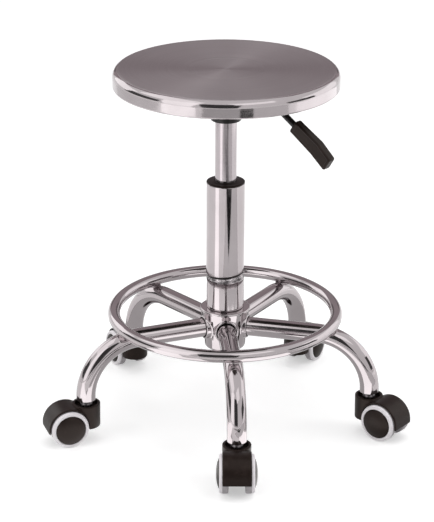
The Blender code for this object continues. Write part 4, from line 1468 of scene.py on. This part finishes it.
def studio_card(name, size, glow, taper=1.0, tint=WHITE):
    """Card of one even brightness that shows only in gloss. Its near edge can be narrower."""
    bpy.ops.object.select_all(action="DESELECT")
    bpy.ops.mesh.primitive_plane_add(size=1)
    card = start_from(name)
    open_mesh(card)
    pick_edges(card, lambda point: point.y > 0)
    widen(taper, 1, (0, 0.5, 0))
    bpy.ops.object.mode_set(mode="OBJECT")
    card.scale = (*size, 1)
    made = bpy.data.materials.new(name)
    made.use_nodes = True
    tree = made.node_tree
    shader = tree.nodes["Principled BSDF"]
    set_inputs(tree, shader, Base_Color=(0, 0, 0, 1), Roughness=1.0, Specular_IOR_Level=0.0)
    set_inputs(tree, shader, Emission_Color=(*tint, 1), Emission_Strength=glow)
    card.data.materials.append(made)
    card.visible_camera = False
    card.visible_diffuse = False
    card.visible_shadow = False
    return card


def hung_card(name, way, rise, size, glow, tint=WHITE):
    """Card that hangs facing the stool: its way to the right of the front and its rise, in degrees."""
    card = studio_card(name, size, glow, tint=tint)
    turn_by, lift_by = math.radians(way), math.radians(rise)
    level = math.cos(lift_by)
    out = Vector((level * math.sin(turn_by), -level * math.cos(turn_by), math.sin(lift_by)))
    card.location = CARD_AIM + CARD_DISTANCE * out
    card.rotation_euler = (-out).to_track_quat("Z", "Y").to_euler()


def floor_card(name, way, near, far, width, glow, taper=1.0, layer=3):
    """Card that lies on the floor: its way to the right of the front, in degrees, and its reach."""
    card = studio_card(name, (width, far - near), glow, taper)
    turn_by = math.radians(way)
    middle = (near + far) / 2
    card.location = (middle * math.sin(turn_by), -middle * math.cos(turn_by), CARD_LAYER * layer)
    card.rotation_euler = (0, 0, turn_by)


hung_card("card_back", way=180, rise=38, size=(3.3, 3.6), glow=0.42, tint=ROSE)
hung_card("card_low_back", way=180, rise=10, size=(2.2, 0.55), glow=0.20, tint=ROSE)
hung_card("card_front", way=-6, rise=22, size=(1.70, 2.15), glow=0.07)
hung_card("card_front_left", way=-48, rise=25, size=(1.50, 2.6), glow=1.9)
hung_card("card_high_left", way=-78, rise=54, size=(2.2, 1.5), glow=1.65)
hung_card("card_back_left", way=-126, rise=21, size=(1.75, 1.30), glow=1.75)
hung_card("card_right", way=111, rise=15, size=(2.6, 1.5), glow=1.6)
hung_card("card_high_right", way=32, rise=49, size=(1.6, 0.96), glow=1.6)
hung_card("card_low_left", way=-92, rise=12, size=(2.3, 1.05), glow=0.10)
hung_card("card_low_right", way=78, rise=9, size=(1.6, 0.8), glow=0.10)
floor_card("floor_under", way=0, near=-0.31, far=0.31, width=0.62, glow=0.68, layer=0.5)
floor_card("floor_bright_left", way=-51, near=0.14, far=1.40, width=0.50, glow=2.1, taper=0.29)
floor_card("floor_near_left", way=-42, near=0.13, far=0.29, width=0.24, glow=2.0, taper=0.6, layer=4)
floor_card("floor_near_right", way=34, near=0.13, far=0.40, width=0.26, glow=2.1, taper=0.55)
floor_card("floor_far_left", way=-47, near=1.42, far=3.0, width=1.55, glow=2.0, taper=0.62)
floor_card("floor_far_right", way=106, near=1.30, far=3.2, width=1.9, glow=1.75)
floor_card("floor_dim_right", way=36, near=0.36, far=3.0, width=2.3, glow=0.88, taper=0.36, layer=1)
floor_card("floor_dim_front", way=-4, near=0.99, far=2.4, width=1.05, glow=0.62, layer=2)
floor_card("card_tube", way=8, near=0.99, far=1.25, width=0.66, glow=0.32)
floor_card("card_streak", way=20, near=0.63, far=0.98, width=0.60, glow=0.02, taper=0.06, layer=4)
floor_card("card_rim", way=19.5, near=1.36, far=1.72, width=0.36, glow=0.02)
floor_card("floor_left", way=-104, near=1.34, far=2.2, width=2.2, glow=0.92, layer=2)

CAMERA_PLACE = (0, -2.51902, 1.20755)
CAMERA_YAW = -0.00432
CAMERA_PITCH = 0.37292
CAMERA_ROLL = 0.00404
PHOTO_HEIGHT = 522  # pixels
FOCAL_LENGTH = 2062.46  # in the photograph's pixels
SENSOR_HEIGHT = 24  # mm


def photo_camera():
    """Camera at the photograph's place and viewing angle."""
    level = math.cos(CAMERA_PITCH)
    forward = Vector((math.sin(CAMERA_YAW) * level, math.cos(CAMERA_YAW) * level, -math.sin(CAMERA_PITCH)))
    across = Vector((math.cos(CAMERA_YAW), -math.sin(CAMERA_YAW), 0))
    above = across.cross(forward)
    right = across * math.cos(CAMERA_ROLL) + above * math.sin(CAMERA_ROLL)
    up = above * math.cos(CAMERA_ROLL) - across * math.sin(CAMERA_ROLL)
    place = Matrix((right, up, -forward)).transposed().to_4x4()
    place.translation = CAMERA_PLACE
    camera = bpy.data.cameras.new("photo_camera")
    camera.sensor_fit = "VERTICAL"
    camera.sensor_height = SENSOR_HEIGHT
    camera.lens = SENSOR_HEIGHT * FOCAL_LENGTH / PHOTO_HEIGHT
    camera.clip_end = 50
    shown = bpy.data.objects.new("photo_camera", camera)
    shown.matrix_world = place
    bpy.context.scene.collection.objects.link(shown)
    bpy.context.scene.camera = shown


photo_camera()
bpy.context.scene.view_settings.view_transform = "Standard"
